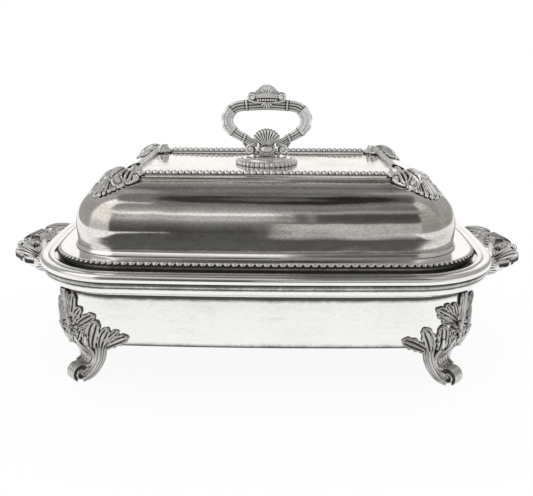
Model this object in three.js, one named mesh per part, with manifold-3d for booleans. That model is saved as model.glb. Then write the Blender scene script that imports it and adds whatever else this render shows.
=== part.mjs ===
// Casserole warmer in silver plate: a footed hot-water stand, the dish that hangs in it,
// the domed cover and the cover's loop handle, which locks with a quarter turn.
// Millimetres, +Z up, the feet stand on z = 0, the long way lies along X and the front faces -Y.
import * as THREE from "three";
import { mergeVertices } from "three/addons/utils/BufferGeometryUtils.js";
import Module from "manifold-3d";

const wasm = await Module();
wasm.setup();

// Driving sizes of the whole
const rimLength = 314;
const rimWidth = 240;
const cornerRadius = 62;
const sideBow = 2; // how far a long side bulges past its corners
const endBow = 3; // the same at the two ends
const footHeight = 32.4; // floor to the underside of the pan
const panWallHeight = 37.6;
const rimHeight = 15.4;
const seatGap = 0.3; // between soldered or resting pieces
const overrun = 2; // how far a cutter passes the face it cuts

// Facets
const cornerSteps = 6;
const halfSideSteps = 2;
const halfEndSteps = 2;

// Places that follow from them
const halfLength = rimLength / 2;
const halfWidth = rimWidth / 2;
const cornerX = halfLength - cornerRadius - endBow;
const cornerY = halfWidth - cornerRadius - sideBow;
const sideRadius = cornerRadius + sideBow / 2 + cornerX ** 2 / (2 * sideBow);
const endRadius = cornerRadius + endBow / 2 + cornerY ** 2 / (2 * endBow);
const sideCentreY = halfWidth - sideRadius;
const endCentreX = halfLength - endRadius;
const endAngle = Math.atan2(cornerY, cornerX - endCentreX);
const sideAngle = Math.atan2(cornerY - sideCentreY, cornerX);
const diagonal = Math.PI / 4;
const panTop = footHeight + panWallHeight;
const rimTop = panTop + rimHeight;

// Colours
const silver = new THREE.Color(0.83, 0.82, 0.8);
const shadedSilver = new THREE.Color(0.66, 0.65, 0.63);
const castSilver = new THREE.Color(0.58, 0.57, 0.55);

const warmer = new THREE.Group();

// Shared helpers

// A point on a plan arc, with the outward direction there.
function onArc(centreX, centreY, radius, angle) {
  const outX = Math.cos(angle);
  const outY = Math.sin(angle);
  return { x: centreX + radius * outX, y: centreY + radius * outY, outX, outY };
}

// The cushion outline drawn in by `inset`: bowed sides, bowed ends and round corners.
function outline(inset) {
  const quarter = [];
  for (let i = 0; i < halfEndSteps; i += 1) {
    quarter.push(onArc(endCentreX, 0, endRadius - inset, (endAngle * i) / halfEndSteps));
  }
  for (let i = 0; i <= cornerSteps; i += 1) {
    const angle = THREE.MathUtils.lerp(endAngle, sideAngle, i / cornerSteps);
    quarter.push(onArc(cornerX, cornerY, cornerRadius - inset, angle));
  }
  for (let i = 1; i <= halfSideSteps; i += 1) {
    const angle = THREE.MathUtils.lerp(sideAngle, Math.PI / 2, i / halfSideSteps);
    quarter.push(onArc(0, sideCentreY, sideRadius - inset, angle));
  }
  const half = [...quarter, ...quarter.slice(0, -1).reverse().map((p) => ({ x: -p.x, y: p.y }))];
  return [...half, ...half.slice(1, -1).reverse().map((p) => ({ x: p.x, y: -p.y }))];
}

// The same outline as one quarter's wall: `along` runs from the diagonal, positive towards +Y.
function onWall(along, inset) {
  const radius = cornerRadius - inset;
  const angle = diagonal + along / radius;
  if (angle > sideAngle) {
    const extra = ((angle - sideAngle) * radius) / (sideRadius - inset);
    return onArc(0, sideCentreY, sideRadius - inset, sideAngle + extra);
  }
  if (angle < endAngle) {
    const extra = ((endAngle - angle) * radius) / (endRadius - inset);
    return onArc(endCentreX, 0, endRadius - inset, endAngle - extra);
  }
  return onArc(cornerX, cornerY, radius, angle);
}

// A closed mesh from points and triangles, turned to face outwards.
function closedGeometry(points, triangles) {
  let volume = 0;
  for (let i = 0; i < triangles.length; i += 3) {
    const [a, b, c] = [0, 1, 2].map((k) => points[triangles[i + k]]);
    volume += a.dot(new THREE.Vector3().crossVectors(b, c));
  }
  if (volume < 0) {
    triangles.reverse();
  }
  const geometry = new THREE.BufferGeometry();
  geometry.setAttribute("position", new THREE.Float32BufferAttribute(points.flatMap((p) => p.toArray()), 3));
  geometry.setIndex(triangles);
  return geometry;
}

// Skins a row of rings of equal count; a loop joins the last ring to the first, else both ends are closed.
function loft(rings, loop = false) {
  const count = rings[0].length;
  const points = rings.flat();
  const triangles = [];
  for (let i = 0; i < rings.length - (loop ? 0 : 1); i += 1) {
    const next = (i + 1) % rings.length;
    for (let j = 0; j < count; j += 1) {
      const turn = (j + 1) % count;
      triangles.push(i * count + j, i * count + turn, next * count + turn);
      triangles.push(i * count + j, next * count + turn, next * count + j);
    }
  }
  if (!loop) {
    [0, rings.length - 1].forEach((row, end) => {
      const middle = new THREE.Vector3();
      rings[row].forEach((p) => middle.addScaledVector(p, 1 / count));
      points.push(middle);
      for (let j = 0; j < count; j += 1) {
        const edge = [row * count + j, row * count + ((j + 1) % count)];
        triangles.push(points.length - 1, edge[1 - end], edge[end]);
      }
    });
  }
  return closedGeometry(points, triangles);
}

// A profile of [inset, height] points carried round the cushion outline.
function ringOf(profile) {
  return loft(profile.map(([inset, z]) => outline(inset).map((p) => new THREE.Vector3(p.x, p.y, z))), true);
}

// The same for a vessel, whose first and last profile points are closed across the middle.
function vesselOf(profile) {
  return loft(profile.map(([inset, z]) => outline(inset).map((p) => new THREE.Vector3(p.x, p.y, z))));
}

// Points of an elliptical arc as [inset, height], angles in quarter turns.
function arcPoints(inset, z, reachInset, reachZ, from, to, steps) {
  return Array.from({ length: steps + 1 }, (_, i) => {
    const angle = (THREE.MathUtils.lerp(from, to, i / steps) * Math.PI) / 2;
    return [inset + reachInset * Math.cos(angle), z + reachZ * Math.sin(angle)];
  });
}

// Reads a table of [place, value, ...] rows between its places.
function readTable(table, place) {
  const last = table.length - 1;
  if (place <= table[0][0]) return table[0].slice(1);
  if (place >= table[last][0]) return table[last].slice(1);
  const row = table.findIndex((entry) => entry[0] > place);
  const share = (place - table[row - 1][0]) / (table[row][0] - table[row - 1][0]);
  return table[row].slice(1).map((v, k) => THREE.MathUtils.lerp(table[row - 1][k + 1], v, share));
}

// Carries a section along a curve. section(u) gives [across, up] points, `up` starts from the given direction.
function sweep(curve, steps, up, section) {
  const rings = [];
  for (let i = 0; i <= steps; i += 1) {
    const u = i / steps;
    const centre = curve.getPointAt(u);
    const tangent = curve.getTangentAt(u);
    const across = new THREE.Vector3().crossVectors(up, tangent).normalize();
    const upright = new THREE.Vector3().crossVectors(tangent, across);
    rings.push(
      section(u).map(([p, q]) => centre.clone().addScaledVector(across, p).addScaledVector(upright, q)),
    );
  }
  return loft(rings);
}

// An oval section of the given half sizes, its radius drawn in by `fluting` on every other point.
function ovalSection(halfAcross, halfUp, count, fluting = 0) {
  return Array.from({ length: count }, (_, i) => {
    const angle = (2 * Math.PI * i) / count;
    const draw = 1 - (i % 2) * fluting;
    return [halfAcross * Math.cos(angle) * draw, halfUp * Math.sin(angle) * draw];
  });
}

// A relief plate: front and back surfaces over a grid of rows and columns, joined round the edge.
function plateOf(rows, columns, front, back) {
  const points = [];
  const triangles = [];
  [front, back].forEach((surface) => {
    for (let i = 0; i <= rows; i += 1) {
      for (let j = 0; j <= columns; j += 1) {
        points.push(surface(i / rows, (2 * j) / columns - 1));
      }
    }
  });
  const width = columns + 1;
  const side = (rows + 1) * width;
  const quad = (a, b, c, d) => triangles.push(a, b, c, a, c, d);
  for (let i = 0; i < rows; i += 1) {
    for (let j = 0; j < columns; j += 1) {
      const a = i * width + j;
      quad(a, a + 1, a + width + 1, a + width);
      quad(side + a, side + a + width, side + a + width + 1, side + a + 1);
    }
  }
  const rim = [];
  for (let j = 0; j < columns; j += 1) rim.push(j);
  for (let i = 0; i < rows; i += 1) rim.push(i * width + columns);
  for (let j = columns; j > 0; j -= 1) rim.push(rows * width + j);
  for (let i = rows; i > 0; i -= 1) rim.push(i * width);
  rim.forEach((a, k) => {
    const b = rim[(k + 1) % rim.length];
    quad(b, a, side + a, side + b);
  });
  return closedGeometry(points, triangles);
}

// A scallop shell fan in the XZ plane, opening upwards from the origin, ribbed on the faces asked for.
function shellFan({ radius, rootRadius, spread, ribs, thickness, relief, twoFaced }) {
  const columns = 2 * ribs;
  const place = (row, side, y) => {
    const rib = Math.abs(Math.cos((side * ribs * Math.PI) / 2 + (ribs % 2 ? 0 : Math.PI / 2)));
    const reach = THREE.MathUtils.lerp(rootRadius, radius - relief * (1 - rib), row);
    const lift = y === 0 ? 0 : y * (1 - (relief / thickness) * (1 - rib) * row);
    return new THREE.Vector3(reach * Math.sin(side * spread), lift, reach * Math.cos(side * spread));
  };
  return plateOf(
    2,
    columns,
    (row, side) => place(row, side, -thickness),
    (row, side) => place(row, side, twoFaced ? thickness : 0),
  );
}

// A mesh as a solid for cutting and joining, and back.
function solidOf(geometry) {
  const bare = geometry.clone();
  bare.deleteAttribute("normal");
  bare.deleteAttribute("uv");
  const merged = mergeVertices(bare);
  return new wasm.Manifold(
    new wasm.Mesh({
      numProp: 3,
      vertProperties: merged.attributes.position.array,
      triVerts: new Uint32Array(merged.index.array),
    }),
  );
}

function geometryOf(solid) {
  const mesh = solid.getMesh();
  const geometry = new THREE.BufferGeometry();
  geometry.setAttribute("position", new THREE.BufferAttribute(mesh.vertProperties, 3));
  geometry.setIndex(new THREE.BufferAttribute(mesh.triVerts, 1));
  return geometry;
}

function joined(geometries) {
  return geometryOf(geometries.map(solidOf).reduce((whole, piece) => whole.add(piece)));
}

function moved(geometry, x, y, z) {
  return geometry.clone().translate(x, y, z);
}

function addPiece(name, geometry, color, roughness) {
  const material = new THREE.MeshStandardMaterial({ color, roughness, metalness: 1 });
  const mesh = new THREE.Mesh(geometry, material);
  mesh.name = name;
  warmer.add(mesh);
  return mesh;
}

const corners = [
  { name: "front_left", x: -1, y: -1 },
  { name: "front_right", x: 1, y: -1 },
  { name: "back_left", x: -1, y: 1 },
  { name: "back_right", x: 1, y: 1 },
];

// One piece at each corner, made in the +X +Y quarter and mirrored.
function addAtCorners(prefix, geometry, color, roughness) {
  corners.forEach((corner) => {
    addPiece(`${prefix}_${corner.name}`, geometry, color, roughness).scale.set(corner.x, corner.y, 1);
  });
}

// Hot-water pan: straight walls, rounded foot edge, open top under the rim
const rimProjection = 11; // from the rim's edge in to the pan's wall
const panWall = 1.6;
const panFloor = 1.6;
const panEdgeRadius = 4;
const panFloorInset = rimProjection + 3 * panEdgeRadius; // where the flat floor is closed across

function panGeometry() {
  const innerRadius = panEdgeRadius - panWall;
  const innerWall = rimProjection + panWall;
  return vesselOf([
    [panFloorInset, footHeight],
    ...arcPoints(rimProjection + panEdgeRadius, footHeight + panEdgeRadius, -panEdgeRadius, -panEdgeRadius, 1, 0, 3),
    [rimProjection, panTop],
    [innerWall, panTop],
    ...arcPoints(innerWall + innerRadius, footHeight + panFloor + innerRadius, -innerRadius, -innerRadius, 0, 1, 2),
    [panFloorInset, footHeight + panFloor],
  ]);
}

addPiece("pan", panGeometry(), silver, 0.12);

// Rim moulding: ovolo, small bead, large bead, flat top, and the recess that takes the dish
const rimFoot = 2; // how far the ovolo starts outside the pan's wall
const ovoloHeight = 6.6;
const groove = 0.8; // depth of the quirks beside the beads
const smallBead = 1.6; // half its height
const smallBeadInset = 1.2;
const largeBead = 2.8;
const rimTopWidth = 9.8; // from the rim's edge in to the opening
const recessDepth = 2;
const recessWidth = 5.4;
const bearerHeight = 4.3; // the lip that carries the dish, above the recess
const bearerWidth = 2;
const rimUnderside = 3.2; // how far the rim reaches inside the pan's wall
const rimWeb = 5; // the depth of metal under the recess

const recessFloor = rimTop - recessDepth;
const bearerInset = rimTopWidth + recessWidth;
const bearerTop = recessFloor + bearerHeight;

function rimGeometry() {
  const ovoloInset = rimProjection - rimFoot;
  const smallBeadZ = panTop + ovoloHeight + smallBead;
  const largeBeadZ = smallBeadZ + smallBead + largeBead;
  const beadRoot = smallBeadInset + groove;
  return ringOf([
    [ovoloInset, panTop],
    ...arcPoints(ovoloInset, panTop + ovoloHeight, beadRoot - ovoloInset, -ovoloHeight, 0.75, 0, 3),
    ...arcPoints(beadRoot, smallBeadZ, smallBeadInset - beadRoot, -smallBead, 0.6, -0.6, 2),
    ...arcPoints(beadRoot, largeBeadZ, -beadRoot, -largeBead, 0.9, -0.75, 4),
    [beadRoot + groove, rimTop],
    [rimTopWidth - groove, rimTop],
    [rimTopWidth, rimTop - groove],
    [rimTopWidth, recessFloor],
    [bearerInset, recessFloor],
    [bearerInset, bearerTop],
    [bearerInset + bearerWidth, bearerTop],
    [bearerInset + bearerWidth, recessFloor - rimWeb / 2],
    [rimProjection + rimUnderside, recessFloor - rimWeb],
    [rimProjection + rimUnderside, panTop],
  ]);
}

addPiece("pan_rim", rimGeometry(), silver, 0.12);

// Feet: fluted scrolls under the corners, cut flat where they stand
const footReach = 17; // how far the toe comes out from the top of the leg
const legTopInset = 13; // the leg's middle, in from the pan's wall
const legThickness = 14.5;
const legWidth = 25;
const soleDepth = 1.2; // cut off flat under the toe
const footSteps = 12;
const footSides = 12;
const footFluting = 0.1;
// Down the leg: outward share of the reach, height share, width share, thickness share
const legShares = [
  [0.05, 1.2, 1.25, 1],
  [0, 0.96, 1.25, 1],
  [-0.05, 0.77, 1.12, 0.9],
  [-0.02, 0.57, 0.94, 0.84],
  [0.16, 0.36, 0.84, 0.82],
  [0.44, 0.21, 0.79, 0.8],
  [0.74, 0.19, 0.7, 0.74],
  [0.95, 0.27, 0.54, 0.58],
  [1.02, 0.38, 0.32, 0.34],
];

function footGeometry() {
  const top = footHeight - seatGap;
  const wallRadius = cornerRadius - rimProjection;
  const spot = ([out, up]) => {
    const radius = wallRadius - legTopInset + out * footReach;
    return new THREE.Vector3(
      cornerX + radius * Math.cos(diagonal),
      cornerY + radius * Math.sin(diagonal),
      up * top,
    );
  };
  const legCurve = new THREE.CatmullRomCurve3(legShares.map(spot), false, "centripetal");
  const across = new THREE.Vector3(-Math.sin(diagonal), Math.cos(diagonal), 0);
  const sizes = legShares.map(([, , width, thickness], i) => [i / (legShares.length - 1), width, thickness]);
  const leg = sweep(legCurve, footSteps, across, (u) => {
    const [width, thickness] = readTable(sizes, u);
    return ovalSection((legThickness / 2) * thickness, (legWidth / 2) * width, footSides, footFluting);
  });
  const lowest = new THREE.Box3().setFromBufferAttribute(leg.attributes.position).min.z;
  const standing = moved(leg, 0, 0, -lowest - soleDepth);
  const blockSize = 2 * (footReach + legWidth + legThickness);
  const middle = spot([0, 0]);
  const floorBlock = new THREE.BoxGeometry(blockSize, blockSize, 2 * overrun + soleDepth);
  floorBlock.translate(middle.x, middle.y, -overrun - soleDepth / 2);
  const topBlock = new THREE.BoxGeometry(blockSize, blockSize, blockSize);
  topBlock.translate(middle.x, middle.y, top + blockSize / 2);
  return geometryOf(solidOf(standing).subtract(solidOf(floorBlock)).subtract(solidOf(topBlock)));
}

addAtCorners("foot", footGeometry(), castSilver, 0.3);

// Leaf sprays: cast foliage that climbs the pan's corners from the feet to the rim
const sprayReach = 43; // along the wall from the corner's middle to the leaf tip
const sprayDrop = 3.6; // below the pan's underside
const sprayThickness = 3; // at the foot
const sprayTopThickness = 9.5; // where the top leaf curls out under the rim
const sprayEdge = 1;
const sprayGap = 0.5; // off the curved wall, between the spray's own facets
const sprayRows = 10;
const sprayColumns = 10;
// Up the spray: height share, reach share
const sprayShares = [
  [0, 0.5],
  [0.1, 0.84],
  [0.2, 1],
  [0.29, 0.93],
  [0.37, 0.7],
  [0.45, 0.54],
  [0.54, 0.47],
  [0.6, 0.3],
  [0.72, 0.24],
  [0.86, 0.22],
  [1, 0.17],
];

function sprayGeometry() {
  const bottom = footHeight - sprayDrop;
  const top = panTop - seatGap;
  const wallInset = rimProjection - sprayGap;
  const place = (row, side, lift) => {
    const [reach] = readTable(sprayShares, row);
    const spot = onWall(side * reach * sprayReach, wallInset);
    const z = THREE.MathUtils.lerp(bottom, top, row);
    return new THREE.Vector3(spot.x + spot.outX * lift, spot.y + spot.outY * lift, z);
  };
  const height = (row, side) => {
    const crown = 1 - side ** 2;
    const lobes = 0.5 + 0.5 * Math.cos(side * 3 * Math.PI);
    const thickness = THREE.MathUtils.lerp(sprayThickness, sprayTopThickness, row) - sprayEdge;
    return sprayEdge + thickness * (0.7 * crown + 0.3 * lobes * crown);
  };
  return plateOf(
    sprayRows,
    sprayColumns,
    (row, side) => place(row, side, height(row, side)),
    (row, side) => place(row, side, 0),
  );
}

addAtCorners("corner_spray", sprayGeometry(), castSilver, 0.3);

// End handles: a cast bracket at each end, swelling into leaves, with a shell inside the grip
const handleReach = 46.5; // from the pan's end wall out to the grip's middle
const handleSpan = 84; // between the middles of the two roots
const handleRootHeight = 25.6; // above the pan's underside
const handleGripHeight = 8; // how far the grip lies above the roots
const gripThickness = 8;
const gripHeight = 11.5;
const rootThickness = 15;
const rootHeight = 15;
const handleSteps = 24;
const handleSides = 8;
// Out from the root: reach share, half-span share, rise share
const bracketShares = [
  [0, 1, 0],
  [0.2, 1.02, 0.35],
  [0.42, 1.03, 1.1],
  [0.66, 0.95, 1.45],
  [0.88, 0.52, 1.2],
  [1, 0, 0.95],
];
// Along half of the bracket: thickness share and height share of the grip
const bracketSizeShares = [
  [0, 1.8, 1.4],
  [0.12, 1.1, 0.9],
  [0.3, 1.3, 1.15],
  [0.5, 1.45, 1.3],
  [0.66, 1, 1],
  [1, 1, 1],
];

// The pan's end wall at a place across it
function endWall(y) {
  const radius = endRadius - rimProjection;
  const angle = Math.asin(y / radius);
  return { x: endCentreX + radius * Math.cos(angle), angle };
}

function endHandleGeometry() {
  const root = endWall(handleSpan / 2);
  const startX = root.x + seatGap;
  const reach = endWall(0).x + handleReach - startX;
  const half = bracketShares.map(
    ([out, side, rise]) =>
      new THREE.Vector3(
        startX + out * reach,
        (side * handleSpan) / 2,
        footHeight + handleRootHeight + rise * handleGripHeight,
      ),
  );
  const other = half.slice(0, -1).reverse().map((p) => new THREE.Vector3(p.x, -p.y, p.z));
  const curve = new THREE.CatmullRomCurve3([...half, ...other], false, "centripetal");
  const bracket = sweep(curve, handleSteps, new THREE.Vector3(0, 0, 1), (u) => {
    const along = 1 - Math.abs(1 - 2 * u);
    const [thick, high] = readTable(bracketSizeShares, along);
    return ovalSection((gripThickness / 2) * thick, (gripHeight / 2) * high, handleSides);
  });
  const wallBlock = new THREE.BoxGeometry(rootThickness * 2, handleSpan * 2, footHeight + panTop);
  wallBlock.translate(endWall(handleSpan / 2 - rootHeight / 2).x + seatGap - rootThickness, 0, panTop / 2);
  return geometryOf(solidOf(bracket).subtract(solidOf(wallBlock)));
}

const endShellRadius = 9.5;
const endShellThickness = 4;
const endShellRoot = 2;
const endShellSpread = 1.3;
const endShellRibs = 7;
const endShellRelief = 0.9;
const endShellDrop = 1; // its root lies this far below the grip's middle

function endShellGeometry() {
  const fan = shellFan({
    radius: endShellRadius,
    rootRadius: endShellRoot,
    spread: endShellSpread,
    ribs: endShellRibs,
    thickness: endShellThickness,
    relief: endShellRelief,
    twoFaced: false,
  });
  fan.rotateZ(-Math.PI / 2);
  // The grip bows inwards beside its middle, so the shell stands off by that much at its own edge
  const [bowOut, bowSide] = bracketShares[bracketShares.length - 2];
  const setback = (1 - bowOut) * handleReach * (endShellRadius / ((bowSide * handleSpan) / 2)) ** 2;
  const gripInside = endWall(0).x + handleReach - gripThickness / 2 - setback;
  const gripZ = footHeight + handleRootHeight + handleGripHeight;
  return moved(fan, gripInside - seatGap, 0, gripZ - endShellDrop);
}

[
  ["left", -1],
  ["right", 1],
].forEach(([name, side]) => {
  addPiece(`end_handle_${name}`, endHandleGeometry(), castSilver, 0.3).scale.set(side, 1, 1);
  addPiece(`end_shell_${name}`, endShellGeometry(), castSilver, 0.3).scale.set(side, 1, 1);
});

// Dish: a wide flange carried on the rim's bearer, and a deep well over the hot water
const flangeClearance = 1.7; // between the rim's opening and the dish's border
const borderWidth = 3.3;
const borderDrop = 2.4; // the border hangs this far below the flange's top
const flangeThickness = 1.5;
const flangeShow = 12.5; // what shows of the flange outside the cover
const dishDepth = 39; // inside
const dishWall = 1.5;
const dishTaper = 4;
const dishEdgeRadius = 9;
const mouthMargin = 4; // from the cover's edge in to the well

const borderInset = rimTopWidth + flangeClearance;
const flangeInset = borderInset + borderWidth;
const flangeBottom = bearerTop + seatGap;
const flangeTop = flangeBottom + flangeThickness;
const coverInset = borderInset + flangeShow;
const mouthInset = coverInset + mouthMargin;
const dishFloorTop = flangeTop - dishDepth;
const wellInset = mouthInset + dishTaper;
const dishFloorInset = wellInset + 2 * dishEdgeRadius;

function dishGeometry() {
  const outerRadius = dishEdgeRadius + dishWall;
  return vesselOf([
    [dishFloorInset, dishFloorTop - dishWall],
    ...arcPoints(wellInset + dishEdgeRadius, dishFloorTop + dishEdgeRadius, -outerRadius, -outerRadius, 1, 0, 3),
    [mouthInset - dishWall, flangeBottom],
    [flangeInset, flangeBottom],
    [flangeInset, flangeTop],
    [mouthInset, flangeTop],
    ...arcPoints(wellInset + dishEdgeRadius, dishFloorTop + dishEdgeRadius, -dishEdgeRadius, -dishEdgeRadius, 0, 1, 3),
    [dishFloorInset, dishFloorTop],
  ]);
}

addPiece("dish", dishGeometry(), silver, 0.14);

// Dish border: the drooping gadroon edge round the flange
function dishBorderGeometry() {
  const inner = flangeInset - seatGap;
  return ringOf([
    ...arcPoints(inner, flangeTop - borderDrop, borderInset - inner, borderDrop, 1, 0, 3),
    [inner, flangeTop - borderDrop],
  ]);
}

addPiece("dish_border", dishBorderGeometry(), shadedSilver, 0.3);

// Cover: upright base, round shoulders and a flat top that a rail borders
const coverWall = 1.4;
const baseBandThickness = 1.4;
const baseBandHeight = 2.2;
const domeRise = 32.6; // from the widest place to the shoulder's top
const domeWidestHeight = 11; // above the cover's edge
const domeTuck = 0.5; // how far the edge lies inside the widest place
const domeRoundness = 0.87;
const domeSteps = 7;
const plateauCorner = 4.4; // the shoulder's corner radius in plan where the flat top starts
const plateauStep = 1.6;
const plateauDraw = 0.9;

const coverBottom = flangeTop + seatGap;
const domeInset = coverInset + baseBandThickness + seatGap - domeTuck;
const domeReach = cornerRadius - domeInset;
const domeWidest = coverBottom + domeWidestHeight;
const plateauTop = domeWidest + domeRise + plateauStep;

// Height of the dome's outside at a distance from the plateau's corner lines
function domeHeight(distance) {
  const share = Math.min(distance / domeReach, 1);
  return domeWidest + domeRise * Math.sqrt(1 - share ** 2) ** domeRoundness;
}

// The dome's profile from its edge to the plateau, `depth` inside its outer face
function domeProfile(depth) {
  const last = Math.acos(plateauCorner / domeReach);
  const shoulder = Array.from({ length: domeSteps + 1 }, (_, i) => {
    const angle = (last * i) / domeSteps;
    const distance = domeReach * Math.cos(angle);
    const inset = cornerRadius - distance + depth * Math.cos(angle);
    return [inset, domeHeight(distance) - depth * Math.sin(angle)];
  });
  return [[domeInset + domeTuck + depth, coverBottom], ...shoulder];
}

const lugLength = 18;
const lugWidth = 6;
const lugThickness = 2.5;
const studRadius = 3;
const slotClearance = 0.5;
const lockPlateRadius = 14;
const lockPlateThickness = 2;

// The keyhole: a round hole with a slot across the cover for the stud's lugs
function keyholeCutter(top, bottom) {
  const depth = top - bottom + 2 * overrun;
  const slot = new THREE.BoxGeometry(lugWidth + 2 * slotClearance, lugLength + 2 * slotClearance, depth);
  const hole = new THREE.CylinderGeometry(studRadius + slotClearance, studRadius + slotClearance, depth, 16);
  hole.rotateX(Math.PI / 2);
  return solidOf(moved(joined([slot, hole]), 0, 0, (top + bottom) / 2));
}

function coverGeometry() {
  const inside = domeProfile(coverWall).reverse();
  const innerTop = plateauTop - coverWall;
  const shell = vesselOf([
    [inside[0][0] + plateauDraw, innerTop],
    ...inside,
    ...domeProfile(0),
    [cornerRadius - plateauCorner + plateauDraw / 2, plateauTop - plateauStep],
    [cornerRadius - plateauCorner + plateauDraw, plateauTop],
  ]);
  return geometryOf(solidOf(shell).subtract(keyholeCutter(plateauTop, innerTop)));
}

addPiece("cover", coverGeometry(), silver, 0.12);

function baseBandGeometry() {
  const inner = coverInset + baseBandThickness;
  return ringOf([
    [inner, coverBottom],
    [coverInset, coverBottom],
    [coverInset, coverBottom + baseBandHeight / 2],
    [coverInset + baseBandThickness / 2, coverBottom + baseBandHeight],
    [inner, coverBottom + baseBandHeight],
  ]);
}

addPiece("cover_base_band", baseBandGeometry(), silver, 0.14);

// Corner mounts: cast shell and foliage that run from the rail's corners down the shoulders
const mountHead = 11; // in from the plateau's corner along the diagonal
const mountTail = 29; // out over the shoulder
const mountHalfWidth = 10.5;
const mountHeight = 5.4;
const mountHeadHeight = 7.5;
const mountEdge = 0.8;
const mountGap = 0.5; // off the rounded shoulder, between the mount's own facets
const mountRows = 10;
const mountColumns = 6;
// Along the mount: place share, half-width share
const mountShares = [
  [0, 0.3],
  [0.1, 0.62],
  [0.24, 0.7],
  [0.42, 0.92],
  [0.6, 1],
  [0.76, 0.86],
  [0.9, 0.56],
  [1, 0.12],
];

// The surface that a mount follows: the plateau, a straight bridge over its step, then the dome
const mountBridgeStart = 1.25 * plateauCorner;
const mountBridgeEnd = 2.4 * plateauCorner;
function underMount(distance) {
  if (distance >= mountBridgeEnd) return domeHeight(distance);
  const share = (distance - mountBridgeStart) / (mountBridgeEnd - mountBridgeStart);
  return THREE.MathUtils.lerp(plateauTop, domeHeight(mountBridgeEnd), Math.max(share, 0));
}

// A place on the cover beside its corner: along the diagonal and across it, lifted off the surface
function onShoulder(along, across, lift) {
  const x = cornerX + (along - across) * Math.cos(diagonal);
  const y = cornerY + (along + across) * Math.sin(diagonal);
  const outX = Math.max(x - cornerX, 0);
  const outY = Math.max(y - cornerY, 0);
  const distance = Math.hypot(outX, outY);
  if (distance <= mountBridgeStart) {
    return new THREE.Vector3(x, y, plateauTop + lift);
  }
  const delta = domeReach / 100;
  const slope = (underMount(distance + delta) - underMount(distance - delta)) / (2 * delta);
  const normal = new THREE.Vector3((-slope * outX) / distance, (-slope * outY) / distance, 1).normalize();
  return new THREE.Vector3(x, y, underMount(distance)).addScaledVector(normal, lift);
}

function mountGeometry() {
  const place = (row, side, lift) => {
    const [width] = readTable(mountShares, row);
    const along = THREE.MathUtils.lerp(-mountHead, mountTail, row);
    return onShoulder(along, side * width * mountHalfWidth, lift);
  };
  const height = (row, side) => {
    const rise = THREE.MathUtils.lerp(mountHeadHeight, mountHeight, Math.min(2.5 * row, 1));
    return mountEdge + (rise - mountEdge) * (1 - side ** 2) * Math.sqrt(Math.sin(Math.PI * (0.08 + 0.86 * row)));
  };
  return plateOf(
    mountRows,
    mountColumns,
    (row, side) => place(row, side, mountGap + height(row, side)),
    (row, side) => place(row, side, mountGap),
  );
}

addAtCorners("cover_mount", mountGeometry(), castSilver, 0.3);

// Rails: the raised gadroon border round the flat top, which the cover also stands on when inverted
const railWidth = 4.4;
const railHeight = 3.7;
const railOffset = 0.8; // the rail's middle, out from the plateau's corner lines
const railPitch = 4.4; // from one gadroon lobe to the next
const railBite = 0.9; // how deep the hollows between the lobes go
// Rail section: across share of the half width, height share, share of the hollows
const railShares = [
  [-1, 0, 0],
  [-0.9, 0.6, 0.5],
  [0.05, 1, 1],
  [0.9, 0.6, 0.5],
  [1, 0, 0],
];

// A gadrooned rail along X at y = 0: every other ring stands on a lobe, the rest lie in the hollows
function railGeometry(length) {
  const steps = 2 * Math.round(length / railPitch);
  const rings = Array.from({ length: steps + 1 }, (_, i) => {
    const x = length * (i / steps - 1 / 2);
    const bite = i % 2 === 0 ? railBite : 0;
    return railShares.map(
      ([across, up, hollow]) => new THREE.Vector3(x, (across * railWidth) / 2, up * railHeight - hollow * bite),
    );
  });
  return loft(rings);
}

const mountBar = mountShares[2][1] * mountHalfWidth + seatGap; // half the mount's width where the rails meet it
const railCut = mountBar / Math.cos(diagonal) + railWidth / 2 + railOffset;
const railZ = plateauTop + seatGap;
const longRail = railGeometry(2 * (cornerX - railCut));
const shortRail = railGeometry(2 * (cornerY - railCut));
[
  ["front", longRail, Math.PI, 0, -cornerY - railOffset],
  ["back", longRail, 0, 0, cornerY + railOffset],
  ["left", shortRail, Math.PI / 2, -cornerX - railOffset, 0],
  ["right", shortRail, -Math.PI / 2, cornerX + railOffset, 0],
].forEach(([name, geometry, turn, x, y]) => {
  const rail = addPiece(`cover_rail_${name}`, geometry, shadedSilver, 0.3);
  rail.rotation.z = turn;
  rail.position.set(x, y, railZ);
});

// Lock plate: soldered under the cover's top, slotted for the lugs
const lockPlateTop = plateauTop - coverWall - seatGap;
const lockPlateBottom = lockPlateTop - lockPlateThickness;

function lockPlateGeometry() {
  const disc = new THREE.CylinderGeometry(lockPlateRadius, lockPlateRadius, lockPlateThickness, 28);
  disc.rotateX(Math.PI / 2);
  const placed = moved(disc, 0, 0, (lockPlateTop + lockPlateBottom) / 2);
  return geometryOf(solidOf(placed).subtract(keyholeCutter(lockPlateTop, lockPlateBottom)));
}

addPiece("lock_plate", lockPlateGeometry(), shadedSilver, 0.35);

// Cover handle: base, stem, loop, crest and shells, with the locking stud below
const baseRadius = 23.5;
const baseHeight = 5;
const baseLobes = 36;
const baseLobeDepth = 0.8;
const baseZ = plateauTop + seatGap;
// Base profile: radius share, height share, lobe share
const baseShares = [
  [1, 0, 1],
  [1, 0.2, 1],
  [0.95, 0.5, 1],
  [0.87, 0.66, 0.4],
  [0.76, 0.7, 0],
  [0.72, 0.94, 0],
  [0.5, 1, 0],
];

function baseGeometry() {
  const rings = baseShares.map(([out, up, lobe]) =>
    Array.from({ length: 2 * baseLobes }, (_, i) => {
      const angle = (Math.PI * i) / baseLobes;
      const radius = out * baseRadius - (i % 2) * lobe * baseLobeDepth;
      return new THREE.Vector3(radius * Math.cos(angle), radius * Math.sin(angle), baseZ + up * baseHeight);
    }),
  );
  return loft(rings);
}

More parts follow.
